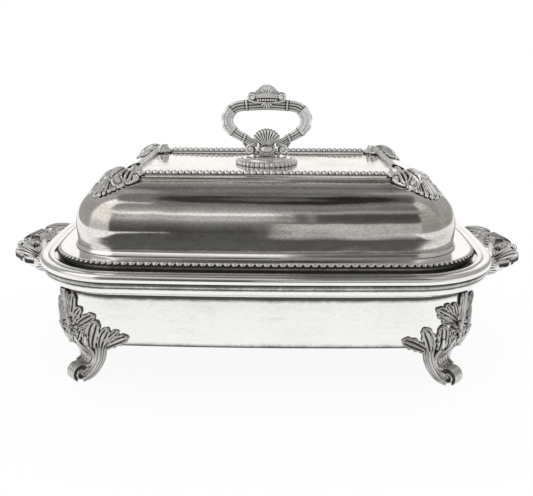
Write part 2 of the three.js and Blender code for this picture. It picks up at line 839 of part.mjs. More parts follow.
addPiece("handle_base", baseGeometry(), shadedSilver, 0.25);

const lugTop = lockPlateBottom - seatGap;

function studGeometry() {
  const studHeight = baseZ - seatGap - lugTop + lugThickness;
  const rod = new THREE.CylinderGeometry(studRadius, studRadius, studHeight, 16);
  rod.rotateX(Math.PI / 2);
  const lugs = new THREE.BoxGeometry(lugLength, lugWidth, lugThickness);
  return joined([
    moved(rod, 0, 0, lugTop - lugThickness + studHeight / 2),
    moved(lugs, 0, 0, lugTop - lugThickness / 2),
  ]);
}

addPiece("locking_stud", studGeometry(), shadedSilver, 0.35);

const stemHeight = 11.5;
const stemHalfWidth = 6.5;
const stemDepth = 6.4;
const voluteRadius = 3.4;
const voluteReach = 12; // its eye, out from the handle's middle
const voluteRise = 3.6; // its eye, above the base
const voluteDepth = 5;
const cabochonWidth = 10.4;
const cabochonHeight = 6.6;
const cabochonRise = 5.4;
const cabochonDepth = 11;
const stemBottom = baseZ + baseHeight + seatGap;

function stemGeometry() {
  const block = new THREE.BoxGeometry(2 * stemHalfWidth, stemDepth, stemHeight);
  const arm = new THREE.BoxGeometry(2 * voluteReach, voluteDepth, voluteRadius);
  const cabochon = new THREE.SphereGeometry(0.5, 16, 10);
  cabochon.scale(cabochonWidth, cabochonDepth, cabochonHeight);
  const volutes = [-1, 1].map((side) => {
    const roll = new THREE.CylinderGeometry(voluteRadius, voluteRadius, voluteDepth, 16);
    return moved(roll, side * voluteReach, 0, stemBottom + voluteRise);
  });
  return joined([
    moved(block, 0, 0, stemBottom + stemHeight / 2),
    moved(arm, 0, 0, stemBottom + voluteRise),
    moved(cabochon, 0, 0, stemBottom + cabochonRise),
    ...volutes,
  ]);
}

addPiece("handle_stem", stemGeometry(), castSilver, 0.3);

const loopHalfWidth = 29.3; // to the middle of its band
const loopHeight = 29; // between the middles of its lower and upper bands
const loopBand = 8.4; // in the loop's plane
const loopDepth = 5.6;
const loopSteps = 34;
const loopSides = 12;
const loopFluting = 0.08;
const loopStart = stemHalfWidth + seatGap;
const loopLead = 1.5; // straight out of the stem's side
const loopEndShare = 0.6; // the band narrows to this at the stem
const loopBottom = stemBottom + stemHeight - (loopBand * loopEndShare) / 2;
// Up one side of the loop: half-width share, height share
const loopShares = [
  [0.38, 0.04],
  [0.5, 0.115],
  [0.71, 0.22],
  [0.9, 0.365],
  [0.99, 0.51],
  [1, 0.66],
  [0.93, 0.805],
  [0.79, 0.92],
  [0.59, 0.965],
  [0.36, 0.98],
];
function loopGeometry() {
  const side = loopShares.map(([x, z]) => [x * loopHalfWidth, loopBottom + z * loopHeight]);
  const right = [[loopStart, loopBottom], [loopStart + loopLead, loopBottom], ...side];
  const path = [...right, [0, loopBottom + loopHeight], ...right.map(([x, z]) => [-x, z]).reverse()];
  const curve = new THREE.CatmullRomCurve3(path.map(([x, z]) => new THREE.Vector3(x, 0, z)), false, "centripetal");
  return sweep(curve, loopSteps, new THREE.Vector3(0, 1, 0), (u) => {
    const fromEnd = Math.min(u, 1 - u);
    const size = THREE.MathUtils.lerp(loopEndShare, 1, Math.min(6 * fromEnd, 1));
    return ovalSection((loopBand / 2) * size, loopDepth / 2, loopSides, loopFluting);
  });
}

addPiece("handle_loop", loopGeometry(), castSilver, 0.25);

const crestRadius = 10;
const crestRoot = 2;
const crestSpread = 1.15;
const crestRibs = 9;
const crestThickness = 2.6;
const crestRelief = 0.8;
const crestScroll = 3.3;
const crestScrollReach = 11;
const crestScrollRise = 0.7; // its eye, above the crest's seat
const crestCheek = 1.8; // thickness of what stands before and behind the loop's band
const pendantRadius = 8; // small shell that hangs down over the band
const pendantRibs = 5;

function crestGeometry() {
  const seat = loopBottom + loopHeight + loopBand / 2 + seatGap;
  const beside = loopDepth / 2 + seatGap;
  const shell = { rootRadius: crestRoot, spread: crestSpread, relief: crestRelief };
  const fan = shellFan({
    ...shell,
    radius: crestRadius,
    ribs: crestRibs,
    thickness: crestThickness,
    twoFaced: true,
  });
  const bar = new THREE.BoxGeometry(2 * crestScrollReach, 2 * (beside + crestCheek), crestRoot);
  const pendant = shellFan({
    ...shell,
    radius: pendantRadius,
    ribs: pendantRibs,
    thickness: crestCheek,
    twoFaced: false,
  }).rotateY(Math.PI);
  const scroll = new THREE.CylinderGeometry(crestScroll, crestScroll, crestCheek, 12);
  const scrollRow = beside + crestCheek / 2;
  const cheek = joined([
    moved(pendant, 0, -beside, seat + crestRoot / 2),
    moved(scroll, -crestScrollReach, -scrollRow, seat + crestScrollRise),
    moved(scroll, crestScrollReach, -scrollRow, seat + crestScrollRise),
    moved(bar, 0, 0, seat + crestRoot / 2),
  ]);
  return joined([moved(fan, 0, 0, seat), cheek, cheek.clone().rotateZ(Math.PI)]);
}

addPiece("handle_crest", crestGeometry(), castSilver, 0.3);

const handleShellRadius = 11;
const handleShellRoot = 2;
const handleShellSpread = 1.15;
const handleShellRibs = 9;
const handleShellThickness = 3;
const handleShellRelief = 0.8;

function handleShellGeometry() {
  return moved(
    shellFan({
      radius: handleShellRadius,
      rootRadius: handleShellRoot,
      spread: handleShellSpread,
      ribs: handleShellRibs,
      thickness: handleShellThickness,
      relief: handleShellRelief,
      twoFaced: false,
    }),
    0,
    -stemDepth / 2 - seatGap,
    stemBottom + cabochonRise + cabochonHeight / 2 + seatGap,
  );
}

[
  ["front", 1],
  ["back", -1],
].forEach(([name, side]) => {
  addPiece(`handle_shell_${name}`, handleShellGeometry(), castSilver, 0.3).scale.set(1, side, 1);
});

export default warmer;
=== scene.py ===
import math

import bpy
import numpy as np
from mathutils import Matrix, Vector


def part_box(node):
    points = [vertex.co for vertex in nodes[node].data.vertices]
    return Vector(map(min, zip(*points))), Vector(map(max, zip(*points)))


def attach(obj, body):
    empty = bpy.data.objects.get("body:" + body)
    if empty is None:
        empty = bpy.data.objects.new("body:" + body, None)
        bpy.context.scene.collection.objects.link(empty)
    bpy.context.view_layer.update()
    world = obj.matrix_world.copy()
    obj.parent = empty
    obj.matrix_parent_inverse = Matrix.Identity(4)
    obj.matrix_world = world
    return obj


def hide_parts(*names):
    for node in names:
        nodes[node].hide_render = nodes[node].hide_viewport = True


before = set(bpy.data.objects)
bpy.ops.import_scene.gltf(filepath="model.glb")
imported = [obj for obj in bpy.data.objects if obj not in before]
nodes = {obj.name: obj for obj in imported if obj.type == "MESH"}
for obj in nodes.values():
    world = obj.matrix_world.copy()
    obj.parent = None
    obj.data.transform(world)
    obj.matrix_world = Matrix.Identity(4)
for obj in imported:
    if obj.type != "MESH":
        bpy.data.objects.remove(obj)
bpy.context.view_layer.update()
print("frame loaded:", len(nodes), "nodes")

# All shapes below are worked out in millimetres and written to the meshes in metres.
metre = 0.001
tau = 2 * math.pi
diagonal = math.sqrt(0.5)  # x and y of a unit step at 45 degrees

# Camera, first of all

view = {
    "lens": 40.52,  # 600 pixels on a 533 pixel wide picture
    "distance": 476.8,
    "aim": (0.17, 0.0, 67.24),
    "elevation": 0.298,
    "turn": -0.013,
    "roll": 0.004,
}


def makeCamera(s):
    up, turn, roll = s["elevation"], s["turn"], s["roll"]
    right = np.array([math.cos(turn), -math.sin(turn), 0.0])
    ahead = np.array([math.sin(turn), math.cos(turn), 0.0])
    back = -ahead * math.cos(up) + np.array([0, 0, math.sin(up)])
    upward = np.cross(back, right)
    aim = right * s["aim"][0] + np.array([0, 0, s["aim"][2]])
    sideways = right * math.cos(roll) + upward * math.sin(roll)
    standing = upward * math.cos(roll) - right * math.sin(roll)
    data = bpy.data.cameras.new("camera")
    data.lens = s["lens"]
    data.sensor_width = 36
    data.clip_start, data.clip_end = 0.01, 20
    camera = bpy.data.objects.new("camera", data)
    bpy.context.scene.collection.objects.link(camera)
    place = (aim + back * s["distance"]) * metre
    rows = [[sideways[k], standing[k], back[k], place[k]] for k in range(3)]
    camera.matrix_world = Matrix(rows + [[0, 0, 0, 1]])
    bpy.context.scene.camera = camera


makeCamera(view)

# The cushion plan that the stand, dish and cover share

plan = {"halfLength": 157.0, "halfWidth": 120.0, "corner": 62.0, "sideBow": 2.0, "endBow": 3.0}
cornerRadius = plan["corner"]
cornerX = plan["halfLength"] - cornerRadius - plan["endBow"]
cornerY = plan["halfWidth"] - cornerRadius - plan["sideBow"]
sideRadius = cornerRadius + plan["sideBow"] / 2 + cornerX**2 / (2 * plan["sideBow"])
endRadius = cornerRadius + plan["endBow"] / 2 + cornerY**2 / (2 * plan["endBow"])
sideCentreY = plan["halfWidth"] - sideRadius
endCentreX = plan["halfLength"] - endRadius
endAngle = math.atan2(cornerY, cornerX - endCentreX)
sideAngle = math.atan2(cornerY - sideCentreY, cornerX)
endRun = endRadius * endAngle
cornerRun = cornerRadius * (sideAngle - endAngle)
sideRun = sideRadius * (math.pi / 2 - sideAngle)
quarterRun = endRun + cornerRun + sideRun


def onQuarter(along, inset):
    # point = arc centre + (arc radius - inset) * (cos a, sin a), on the end, corner or side arc
    arcs = [along < endRun, along < endRun + cornerRun]
    turns = [along / endRadius, endAngle + (along - endRun) / cornerRadius]
    a = np.select(arcs, turns, sideAngle + (along - endRun - cornerRun) / sideRadius)
    radius = np.select(arcs, [endRadius, cornerRadius], sideRadius) - inset
    centreX = np.select(arcs, [endCentreX, cornerX], 0.0)
    centreY = np.select(arcs, [0.0, cornerY], sideCentreY)
    return centreX + radius * np.cos(a), centreY + radius * np.sin(a), np.cos(a), np.sin(a)


def cushion(lap, inset):
    # lap 0..1 runs round from +X through +Y; odd quarters run backwards in a mirror
    turn = np.mod(lap, 1.0) * 4
    quarter = np.floor(turn).astype(int)
    share = np.where(quarter % 2 == 1, 1 - (turn - quarter), turn - quarter)
    x, y, outX, outY = onQuarter(share * quarterRun, inset)
    signX = np.where((quarter == 1) | (quarter == 2), -1, 1)
    signY = np.where(quarter > 1, -1, 1)
    return x * signX, y * signY, outX * signX, outY * signY


# Mesh building


def newBatch():
    return {"points": [], "quads": [], "recess": [], "count": 0}


def addGrid(batch, grid, recess=0.0, wrapRows=False):
    # grid[i, j] holds ring i, point j, and every ring is closed. wrapRows joins the last ring to the first,
    # else a fan of faces closes either end. A shape that comes out inside out has its faces turned round.
    rows, columns = grid.shape[:2]
    points = grid.reshape(-1, 3)
    shade = np.broadcast_to(recess, (rows, columns)).reshape(-1)
    i = np.arange(rows if wrapRows else rows - 1)[:, None] * columns
    j = np.arange(columns)
    nextI, nextJ = (i + columns) % (rows * columns), (j + 1) % columns
    quads = np.stack(np.broadcast_arrays(i + j, i + nextJ, nextI + nextJ, nextI + j), -1).reshape(-1, 4)
    if not wrapRows:
        for row, edge, after in ((0, nextJ, j), (rows - 1, j, nextJ)):
            middle = np.full(columns, len(points))
            points = np.vstack([points, grid[row].mean(0)])
            shade = np.append(shade, shade[row * columns:(row + 1) * columns].mean())
            fan = np.stack([row * columns + edge, row * columns + after, middle, middle], -1)
            quads = np.vstack([quads, fan])
    a, b, c, d = (points[quads[:, k]] for k in range(4))
    if (a * (np.cross(b, c) + np.cross(c, d))).sum() < 0:
        quads = quads[:, ::-1]
    for key, value in (("points", points), ("quads", quads + batch["count"]), ("recess", shade)):
        batch[key].append(value)
    batch["count"] += len(points)


def mirrored(batch, x, y):
    # the batch in another quarter; where x or y alone is mirrored, the faces are turned round
    return {
        "points": [points * [x, y, 1] for points in batch["points"]],
        "quads": [quads if x * y > 0 else quads[:, ::-1] for quads in batch["quads"]],
        "recess": batch["recess"],
    }


def finishPiece(name, batch, material, body, node, sharp=38):
    points = np.vstack(batch["points"]) * metre
    quads = np.vstack(batch["quads"])
    # the fans' quads have their middle twice and become triangles
    startsTwice = quads[:, 0] == quads[:, 1]
    short = startsTwice | (quads[:, 2] == quads[:, 3])
    ordered = np.where(startsTwice[:, None], quads[:, [1, 2, 3, 3]], quads)
    faces = [face[:3] if isShort else face for face, isShort in zip(ordered.tolist(), short.tolist())]
    mesh = bpy.data.meshes.new(name)
    mesh.from_pydata(points.tolist(), [], faces)
    shade = mesh.attributes.new("recess", "FLOAT", "POINT")
    shade.data.foreach_set("value", np.concatenate(batch["recess"]).astype(np.float32))
    mesh.shade_smooth()
    mesh.set_sharp_from_angle(angle=math.radians(sharp))
    mesh.materials.append(material)
    piece = bpy.data.objects.new(name, mesh)
    bpy.context.scene.collection.objects.link(piece)
    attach(piece, body)
    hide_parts(node)


corners = (("front_left", -1, -1), ("front_right", 1, -1), ("back_left", -1, 1), ("back_right", 1, 1))
ends = (("left", -1, 1), ("right", 1, 1))


def finishCopies(name, batch, material, body, node, places):
    # castings are drawn once, in the quarter of +X and +Y, and mirrored to their other places
    for place, x, y in places:
        copy = mirrored(batch, x, y)
        finishPiece(f"{name}_{place}", copy, material, body, f"{node}_{place}")


def arcOf(inset, z, reachInset, reachZ, start, stop, steps):
    # points of an elliptical arc, angles in degrees
    a = np.radians(np.linspace(start, stop, steps))
    return np.stack([inset + reachInset * np.cos(a), z + reachZ * np.sin(a)], -1)


def eased(profile, radius, steps=4, closed=True):
    # every corner becomes a curve between points `radius` away on either side: (1-t)^2 A + 2t(1-t) P + t^2 B
    p = np.asarray(profile, float)
    before, after = np.roll(p, 1, 0), np.roll(p, -1, 0)
    toBefore, toAfter = before - p, after - p
    lengthBefore = np.linalg.norm(toBefore, axis=1, keepdims=True)
    lengthAfter = np.linalg.norm(toAfter, axis=1, keepdims=True)
    a = p + toBefore * np.minimum(radius / np.maximum(lengthBefore, 1e-9), 0.45)
    b = p + toAfter * np.minimum(radius / np.maximum(lengthAfter, 1e-9), 0.45)
    t = np.linspace(0, 1, steps)[None, :, None]
    curve = (1 - t) ** 2 * a[:, None] + 2 * t * (1 - t) * p[:, None] + t**2 * b[:, None]
    if not closed:
        return np.vstack([p[:1], curve[1:-1].reshape(-1, 2), p[-1:]])
    return curve.reshape(-1, 2)


def ringGrid(profile, laps):
    # the profile's [inset, z] points carried round the cushion
    lap = np.arange(laps)[:, None] / laps
    inset = profile[None, :, 0]
    x, y, _, _ = cushion(lap, inset)
    return np.stack([x, y, np.broadcast_to(profile[None, :, 1], x.shape)], -1)


# Finishes


def addNode(tree, kind, inputs=None, **settings):
    # inputs by number or name: a number, a colour, a vector or another node's output
    node = tree.nodes.new("ShaderNode" + kind)
    node.location = (220 * (len(tree.nodes) % 8), -300 * (len(tree.nodes) // 8))
    for key, value in settings.items():
        setattr(node, key, value)
    for key, value in (inputs or {}).items():
        socket = node.inputs[key]
        if isinstance(value, bpy.types.NodeSocket):
            tree.links.new(value, socket)
        elif socket.type == "RGBA" and len(value) == 3:
            socket.default_value = (*value, 1.0)
        else:
            socket.default_value = value
    return node


def calc(tree, operation, *values, clamp=False):
    return addNode(tree, "Math", dict(enumerate(values)), operation=operation, use_clamp=clamp).outputs[0]


def mixColor(tree, share, first, second):
    return addNode(tree, "Mix", {0: share, 6: first, 7: second}, data_type="RGBA").outputs[2]


def spread(tree, value, low, high, toLow=0.0, toHigh=1.0):
    # a smooth step from toLow to toHigh while the value goes from low to high
    inputs = dict(enumerate((value, low, high, toLow, toHigh)))
    return addNode(tree, "MapRange", inputs, interpolation_type="SMOOTHSTEP").outputs[0]


def noiseOf(tree, vector, scale, detail, roughness):
    inputs = {"Vector": vector, "Scale": scale, "Detail": detail, "Roughness": roughness}
    return addNode(tree, "TexNoise", inputs).outputs["Fac"]


def newGroup(name, inputs, outputs):
    # an input without a default value is a vector, all others and the outputs are numbers
    group = bpy.data.node_groups.new(name, "ShaderNodeTree")
    for label, value in inputs.items():
        if value is None:
            group.interface.new_socket(label, in_out="INPUT", socket_type="NodeSocketVector")
        else:
            socket = group.interface.new_socket(label, in_out="INPUT", socket_type="NodeSocketFloat")
            socket.default_value = value
    for label in outputs:
        group.interface.new_socket(label, in_out="OUTPUT", socket_type="NodeSocketFloat")
    return group, group.nodes.new("NodeGroupInput").outputs, group.nodes.new("NodeGroupOutput").inputs


wear = {
    # scale along x, y and z, turn, detail and roughness of each family of marks
    "polish": ((14, 14, 900), (0, 0, 0), 4.0, 0.7), "hair": ((40, 900, 160), (0.2, 0.5, 0.35), 2.0, 0.6),
    "crossing": ((900, 40, 260), (0.6, -0.3, -0.6), 2.0, 0.6), "cloud": ((26, 26, 26), (0, 0, 0), 5.0, 0.62),
    "streak": ((9, 9, 150), (0, 0, 0), 3.0, 0.6), "speck": ((420, 420, 1100), (0, 0, 0), 2.0, 0.7),
    "dent": ((24, 24, 24), (0, 0, 0), 2.0, 0.4), "polishShare": 0.5, "speckShare": 0.45, "lineHeight": -0.006,
}


def makeWearGroup(s):
    # polishing lines, crossing scratches, shallow dents and cloudy tarnish, all from the object's own place
    inputs = {"Vector": None, "Scratches": 1.0, "Dents": 1.0}
    group, given, made = newGroup("plateWear", inputs, ("Lines", "Tarnish", "Height"))

    def marks(name):
        scale, turn, detail, roughness = s[name]
        inputs = {"Vector": given["Vector"], "Scale": scale, "Rotation": turn}
        return noiseOf(group, addNode(group, "Mapping", inputs).outputs[0], 1.0, detail, roughness)

    hair = spread(group, marks("hair"), 0.62, 0.78)
    hair = calc(group, "MAXIMUM", hair, spread(group, marks("crossing"), 0.64, 0.8))
    lines = calc(group, "MULTIPLY_ADD", marks("polish"), s["polishShare"], hair)
    lines = calc(group, "MULTIPLY", lines, given["Scratches"])
    clouds = spread(group, marks("cloud"), 0.35, 0.75)
    clouds = calc(group, "MULTIPLY", clouds, spread(group, marks("streak"), 0.3, 0.7), clamp=True)
    specks = spread(group, marks("speck"), 0.42, 0.68)
    dents = calc(group, "MULTIPLY", marks("dent"), given["Dents"])
    group.links.new(lines, made["Lines"])
    group.links.new(calc(group, "MULTIPLY_ADD", specks, s["speckShare"], clouds, clamp=True), made["Tarnish"])
    group.links.new(calc(group, "MULTIPLY_ADD", lines, s["lineHeight"], dents), made["Height"])
    return group


oxideAndShade = {"grain": (420.0, 4.0, 0.6), "patches": (90.0, 3.0, 0.6), "grainShare": 0.3, "patchShare": 0.35}


def makeOxideAndShadeGroup(s):
    # how dark the recesses are, as oxide in the hollows and painted shade: the mesh's own recess value,
    # broken up by fine grain and patches
    inputs = {"Vector": None, "Recess": 0.0, "Depth": 1.0}
    group, given, made = newGroup("oxideAndShadeRecess", inputs, ("Mask", "Grain"))
    grain = noiseOf(group, given["Vector"], *s["grain"])
    patches = noiseOf(group, given["Vector"], *s["patches"])
    level = calc(group, "SUBTRACT", given["Recess"], (s["grainShare"] + s["patchShare"]) / 2)
    level = calc(group, "MULTIPLY_ADD", grain, s["grainShare"], level)
    level = calc(group, "MULTIPLY_ADD", patches, s["patchShare"], level)
    mask = calc(group, "MULTIPLY", spread(group, level, 0.15, 0.85), given["Depth"], clamp=True)
    group.links.new(mask, made["Mask"])
    group.links.new(grain, made["Grain"])
    return group


wearGroup = makeWearGroup(wear)
oxideAndShadeGroup = makeOxideAndShadeGroup(oxideAndShade)


def makeSilver(name, s):
    material = bpy.data.materials.new(name)
    material.use_nodes = True
    tree = material.node_tree
    tree.nodes.clear()
    spot = addNode(tree, "TexCoord").outputs["Object"]
    inputs = {"Vector": spot, "Scratches": s["scratches"], "Dents": s["dents"]}
    worn = addNode(tree, "Group", inputs, node_tree=wearGroup).outputs
    color = mixColor(tree, calc(tree, "MULTIPLY", worn["Tarnish"], s["tarnish"]), s["clean"], s["warm"])
    rough = calc(tree, "MULTIPLY_ADD", worn["Lines"], s["roughStep"], s["rough"])
    rough = calc(tree, "MULTIPLY_ADD", worn["Tarnish"], s["cloudStep"], rough)
    height = worn["Height"]
    if s["oxideAndShade"]:
        # the recess mask darkens the colour towards the dark colour: oxide in the hollows, and painted shade
        # in creases, gaps, undersides and outlines
        recess = addNode(tree, "Attribute", attribute_name="recess").outputs["Fac"]
        inputs = {"Vector": spot, "Recess": recess, "Depth": s["oxideAndShade"]}
        dark = addNode(tree, "Group", inputs, node_tree=oxideAndShadeGroup).outputs
        color = mixColor(tree, dark["Mask"], color, s["dark"])
        rough = calc(tree, "MULTIPLY_ADD", dark["Mask"], s["oxideRough"], rough, clamp=True)
        height = calc(tree, "MULTIPLY_ADD", dark["Grain"], s["grain"], height)
    inputs = {"Strength": s["bump"], "Distance": 0.001, "Height": height}
    bump = addNode(tree, "Bump", inputs).outputs["Normal"]
    shader = addNode(tree, "BsdfPrincipled", {"Base Color": color, "Roughness": rough, "Normal": bump})
    shader.inputs["Metallic"].default_value = s["metallic"]
    addNode(tree, "OutputMaterial", {0: shader.outputs[0]})
    return material


# "dark" is the colour of oxide and of painted shade in the recesses
silverBase = {
    "clean": (0.93, 0.925, 0.91), "warm": (0.72, 0.68, 0.63), "dark": (0.045, 0.041, 0.038), "metallic": 1.0,
    "scratches": 1.0, "dents": 1.0, "tarnish": 0.45, "rough": 0.07, "roughStep": 0.12, "cloudStep": 0.08,
    "oxideAndShade": 0.0, "oxideRough": 0.35, "grain": 0.05, "bump": 0.35,
}
# where a finish differs from the plain sheet
finishes = {
    "sheet": {},
    "dome": {"clean": (0.88, 0.865, 0.84), "warm": (0.5, 0.445, 0.39), "tarnish": 0.85, "rough": 0.05,
             "roughStep": 0.1, "cloudStep": 0.06, "dents": 2.4},
    "pan": {"rough": 0.16, "tarnish": 0.25, "dents": 0.5, "oxideAndShade": 0.9},
    "rim": {"oxideAndShade": 0.9, "dents": 0.8},
    "cast": {"metallic": 0.85, "clean": (0.95, 0.945, 0.93), "rough": 0.12, "oxideAndShade": 1.0, "dents": 0.3,
             "grain": 0.02},
    "handle": {"metallic": 0.6, "clean": (0.99, 0.985, 0.975), "rough": 0.12, "oxideAndShade": 0.9, "dents": 0.3,
               "grain": 0.015},
    "leg": {"metallic": 0.85, "clean": (0.72, 0.71, 0.69), "warm": (0.4, 0.38, 0.35), "tarnish": 0.75,
            "rough": 0.14, "oxideAndShade": 1.0, "dents": 0.4},
    "spray": {"metallic": 0.85, "clean": (0.56, 0.55, 0.53), "warm": (0.32, 0.3, 0.28), "tarnish": 0.85,
              "rough": 0.13, "oxideAndShade": 1.0, "dents": 0.4},
    "gadroon": {"metallic": 0.82, "rough": 0.1, "oxideAndShade": 1.0, "dents": 0.2, "grain": 0.02},
    "inner": {"clean": (0.6, 0.59, 0.57), "rough": 0.3, "oxideAndShade": 0.6},
}
silver = {name: makeSilver(name + "Silver", {**silverBase, **own}) for name, own in finishes.items()}
print("finishes made")


# Stand: pan and moulded rim

pan = {
    "rimReach": 11.0, "top": 70.0, "bottom": 32.4, "wall": 1.6, "edge": 4.0, "floorInset": 23.0,
    # how dark the wall is, by height above the bottom: painted shade under the rim at the top, and a painted
    # reflection of the shade below the pan along the bottom edge
    "shade": ((0.6, 1), (2.2, 0.62), (4.0, 0.3), (6.0, 0), (29.5, 0), (32.2, 0.2), (33.8, 0.55), (35.0, 1)),
}


def makePan(s):
    outer, inner = s["rimReach"], s["rimReach"] + s["wall"]
    small = s["edge"] - s["wall"]
    floorTop = s["bottom"] + s["wall"]
    heights, darks = np.transpose(s["shade"])
    profile = np.vstack([
        [[s["floorInset"], s["bottom"]]],
        arcOf(outer + s["edge"], s["bottom"] + s["edge"], -s["edge"], -s["edge"], 90, 0, 10),
        [[outer, s["bottom"] + up] for up in (4.8, *heights[3:], 37.2)],
        [[outer + 0.3, s["top"]], [inner, s["top"]]],
        arcOf(inner + small, floorTop + small, -small, -small, 0, 90, 6),
        [[s["floorInset"], floorTop]],
    ])
    recess = np.interp(profile[:, 1], s["bottom"] + heights, darks)
    batch = newBatch()
    addGrid(batch, ringGrid(profile, 320).transpose(1, 0, 2), recess=recess[:, None])
    finishPiece("panBody", batch, silver["pan"], "stand", "pan")


rim = {
    "foot": (9.0, 70.0), "ovolo": 6.6, "smallBead": (1.2, 78.2, 1.6), "largeBead": (0.0, 82.6, 2.8),
    "quirk": 0.8, "top": 85.4, "opening": 9.8, "recess": 83.4, "bearer": (15.2, 17.2, 87.7), "inner": 14.2,
    "web": 78.4,
}


def makeRim(s):
    footInset, footZ = s["foot"]
    small, smallZ, smallHigh = s["smallBead"]
    large, largeZ, largeHigh = s["largeBead"]
    root = small + s["quirk"]
    bearerIn, bearerOut, bearerTop = s["bearer"]
    outside = np.vstack([
        [[footInset, footZ]],
        arcOf(footInset, footZ + s["ovolo"], root - footInset, -s["ovolo"], 78, 0, 10),
        arcOf(root, smallZ, small - root, -smallHigh, 74, -74, 9),
        arcOf(root, largeZ, large - root, -largeHigh, 78, -70, 14),
        [[root + 0.5, s["top"] - 0.15], [root + 1.2, s["top"]], [root + 3.2, s["top"] - 0.1]],
        [[root + 3.6, s["top"] - 0.45], [root + 4.0, s["top"] - 0.1], [s["opening"] - 0.7, s["top"]]],
        [[s["opening"] - 0.2, s["top"] - 0.25], [s["opening"], s["top"] - 0.9]],
    ])
    inside = eased([
        [s["opening"], s["recess"]], [bearerIn, s["recess"]], [bearerIn, bearerTop], [bearerOut, bearerTop],
        [bearerOut, s["recess"] - 2.5], [s["inner"], s["web"]], [s["inner"], footZ],
    ], 0.4, 3, closed=False)
    batch = newBatch()
    grid = ringGrid(np.vstack([outside, inside]), 400)
    inset = np.concatenate([outside[:, 0], inside[:, 0]])
    z = np.concatenate([outside[:, 1], inside[:, 1]])
    # painted shade in both quirks, under the ovolo and inside the opening, with some oxide in the quirks, and
    # a little painted dark reflection on the small bead
    dark = sum(np.exp(-((np.hypot(inset - root, z - at) / 0.95) ** 2))
               for at in (smallZ + smallHigh, smallZ - smallHigh))
    dark += np.clip((footZ + 1.9 - z) / 1.6, 0, 1) + 0.42 * np.exp(-(((z - smallZ) / 1.2) ** 2))
    recess = np.where((inset > s["opening"] + 0.2) & (z < s["top"] - 0.5), 1.0, dark)
    addGrid(batch, grid, recess=np.clip(recess, 0, 1)[None, :], wrapRows=True)
    finishPiece("rimMoulding", batch, silver["rim"], "stand", "pan_rim", sharp=50)


makePan(pan)
makeRim(rim)
print("pan and rim made")

# Dish: flange, well and gadroon border

dish = {
    "flangeInset": 14.45, "bottom": 88.0, "top": 89.5, "mouth": 28.0, "taper": 4.0, "edge": 9.0, "wall": 1.5,
    "floor": 50.5, "border": (11.5, 14.5, 87.1), "pitch": 4.94, "bite": 0.9,
}


def makeDish(s):
    well = s["mouth"] + s["taper"]
    big = s["edge"] + s["wall"]
    floorInset = well + 2 * s["edge"]
    outer = arcOf(well + s["edge"], s["floor"] + s["edge"], -big, -big, 90, 0, 12)
    inner = arcOf(well + s["edge"], s["floor"] + s["edge"], -s["edge"], -s["edge"], 0, 90, 12)
    profile = np.vstack([
        [[floorInset, s["floor"] - s["wall"]]], outer,
        [[s["mouth"] - s["wall"], s["bottom"]], [s["flangeInset"], s["bottom"]]],
        [[s["flangeInset"], s["top"]], [s["flangeInset"] + 2.2, s["top"]]],
        [[s["flangeInset"] + 5, s["top"] - 0.12], [s["mouth"] - 4.5, s["top"] + 0.12]],
        [[s["mouth"] - 2.0, s["top"] + 0.12]],
        arcOf(s["mouth"] - 1.2, s["top"] - 1.2, 1.2, 1.2, 80, 10, 4), inner,
        [[floorInset, s["floor"]]],
    ])
    batch = newBatch()
    addGrid(batch, ringGrid(profile, 320).transpose(1, 0, 2))
    finishPiece("dishBody", batch, silver["sheet"], "dish", "dish")


def makeBorder(s):
    # each lobe: inset = outer + bite * (1 - |cos(pi n lap)|), the same wave drawn down the quarter round
    outer, inner, low = s["border"]
    perLobe = 10
    lobes = 2 * round(2 * quarterRun / s["pitch"])
    laps = lobes * perLobe
    lap = np.arange(laps)[:, None] / laps
    across = np.linspace(0, 1, 9)[None, :]
    slant = 0.28 * across
    wave = np.abs(np.cos(math.pi * (lobes * lap + slant))) ** 0.9
    swell = np.sin(math.pi * np.clip(across * 1.05, 0, 1)) ** 0.5
    angle = across * math.pi / 2
    inset = inner - (inner - outer) * np.sin(angle) + s["bite"] * (1 - wave) * swell
    z = low + (s["top"] - low) * np.cos(angle) - 0.75 * (1 - wave) * swell
    x, y, _, _ = cushion(lap, inset)
    front = np.stack([x, y, z], -1)
    x, y, _, _ = cushion(lap, np.full_like(lap, inner))
    back = np.stack([x, y, np.full_like(x, low)], -1)
    # painted shade: dark between the lobes, more so lower down, and on the lower half and the back where the
    # border drops into the gap over the rim
    dark = 2.2 * (1 - wave) * swell * (0.5 + across) + 1.6 * np.clip((across - 0.5) / 0.25, 0, 1)
    recess = np.concatenate([np.clip(dark - 0.3, 0, 1), np.full((laps, 1), 1.0)], 1)
    batch = newBatch()
    addGrid(batch, np.concatenate([front, back], 1), recess=recess, wrapRows=True)
    finishPiece("flangeGadroon", batch, silver["gadroon"], "dish", "dish_border",
                sharp=70)


makeDish(dish)
makeBorder(dish)
print("dish made")

# Cover: dome, base band and gadroon rails

dome = {
    "foot": (25.7, 89.8), "widest": (25.2, 100.8), "rise": 32.6, "roundness": 0.87, "wall": 1.4,
    "cornerLeft": 4.4, "step": 1.6, "draw": 0.9, "top": 135.0,
}
domeReach = cornerRadius - dome["widest"][0]


def domeHeight(distance):
    # height = widest + rise * (1 - (distance / reach)^2)^(roundness / 2)
    share = np.clip(distance / domeReach, 0, 1)
    return dome["widest"][1] + dome["rise"] * (1 - share**2) ** (dome["roundness"] / 2)


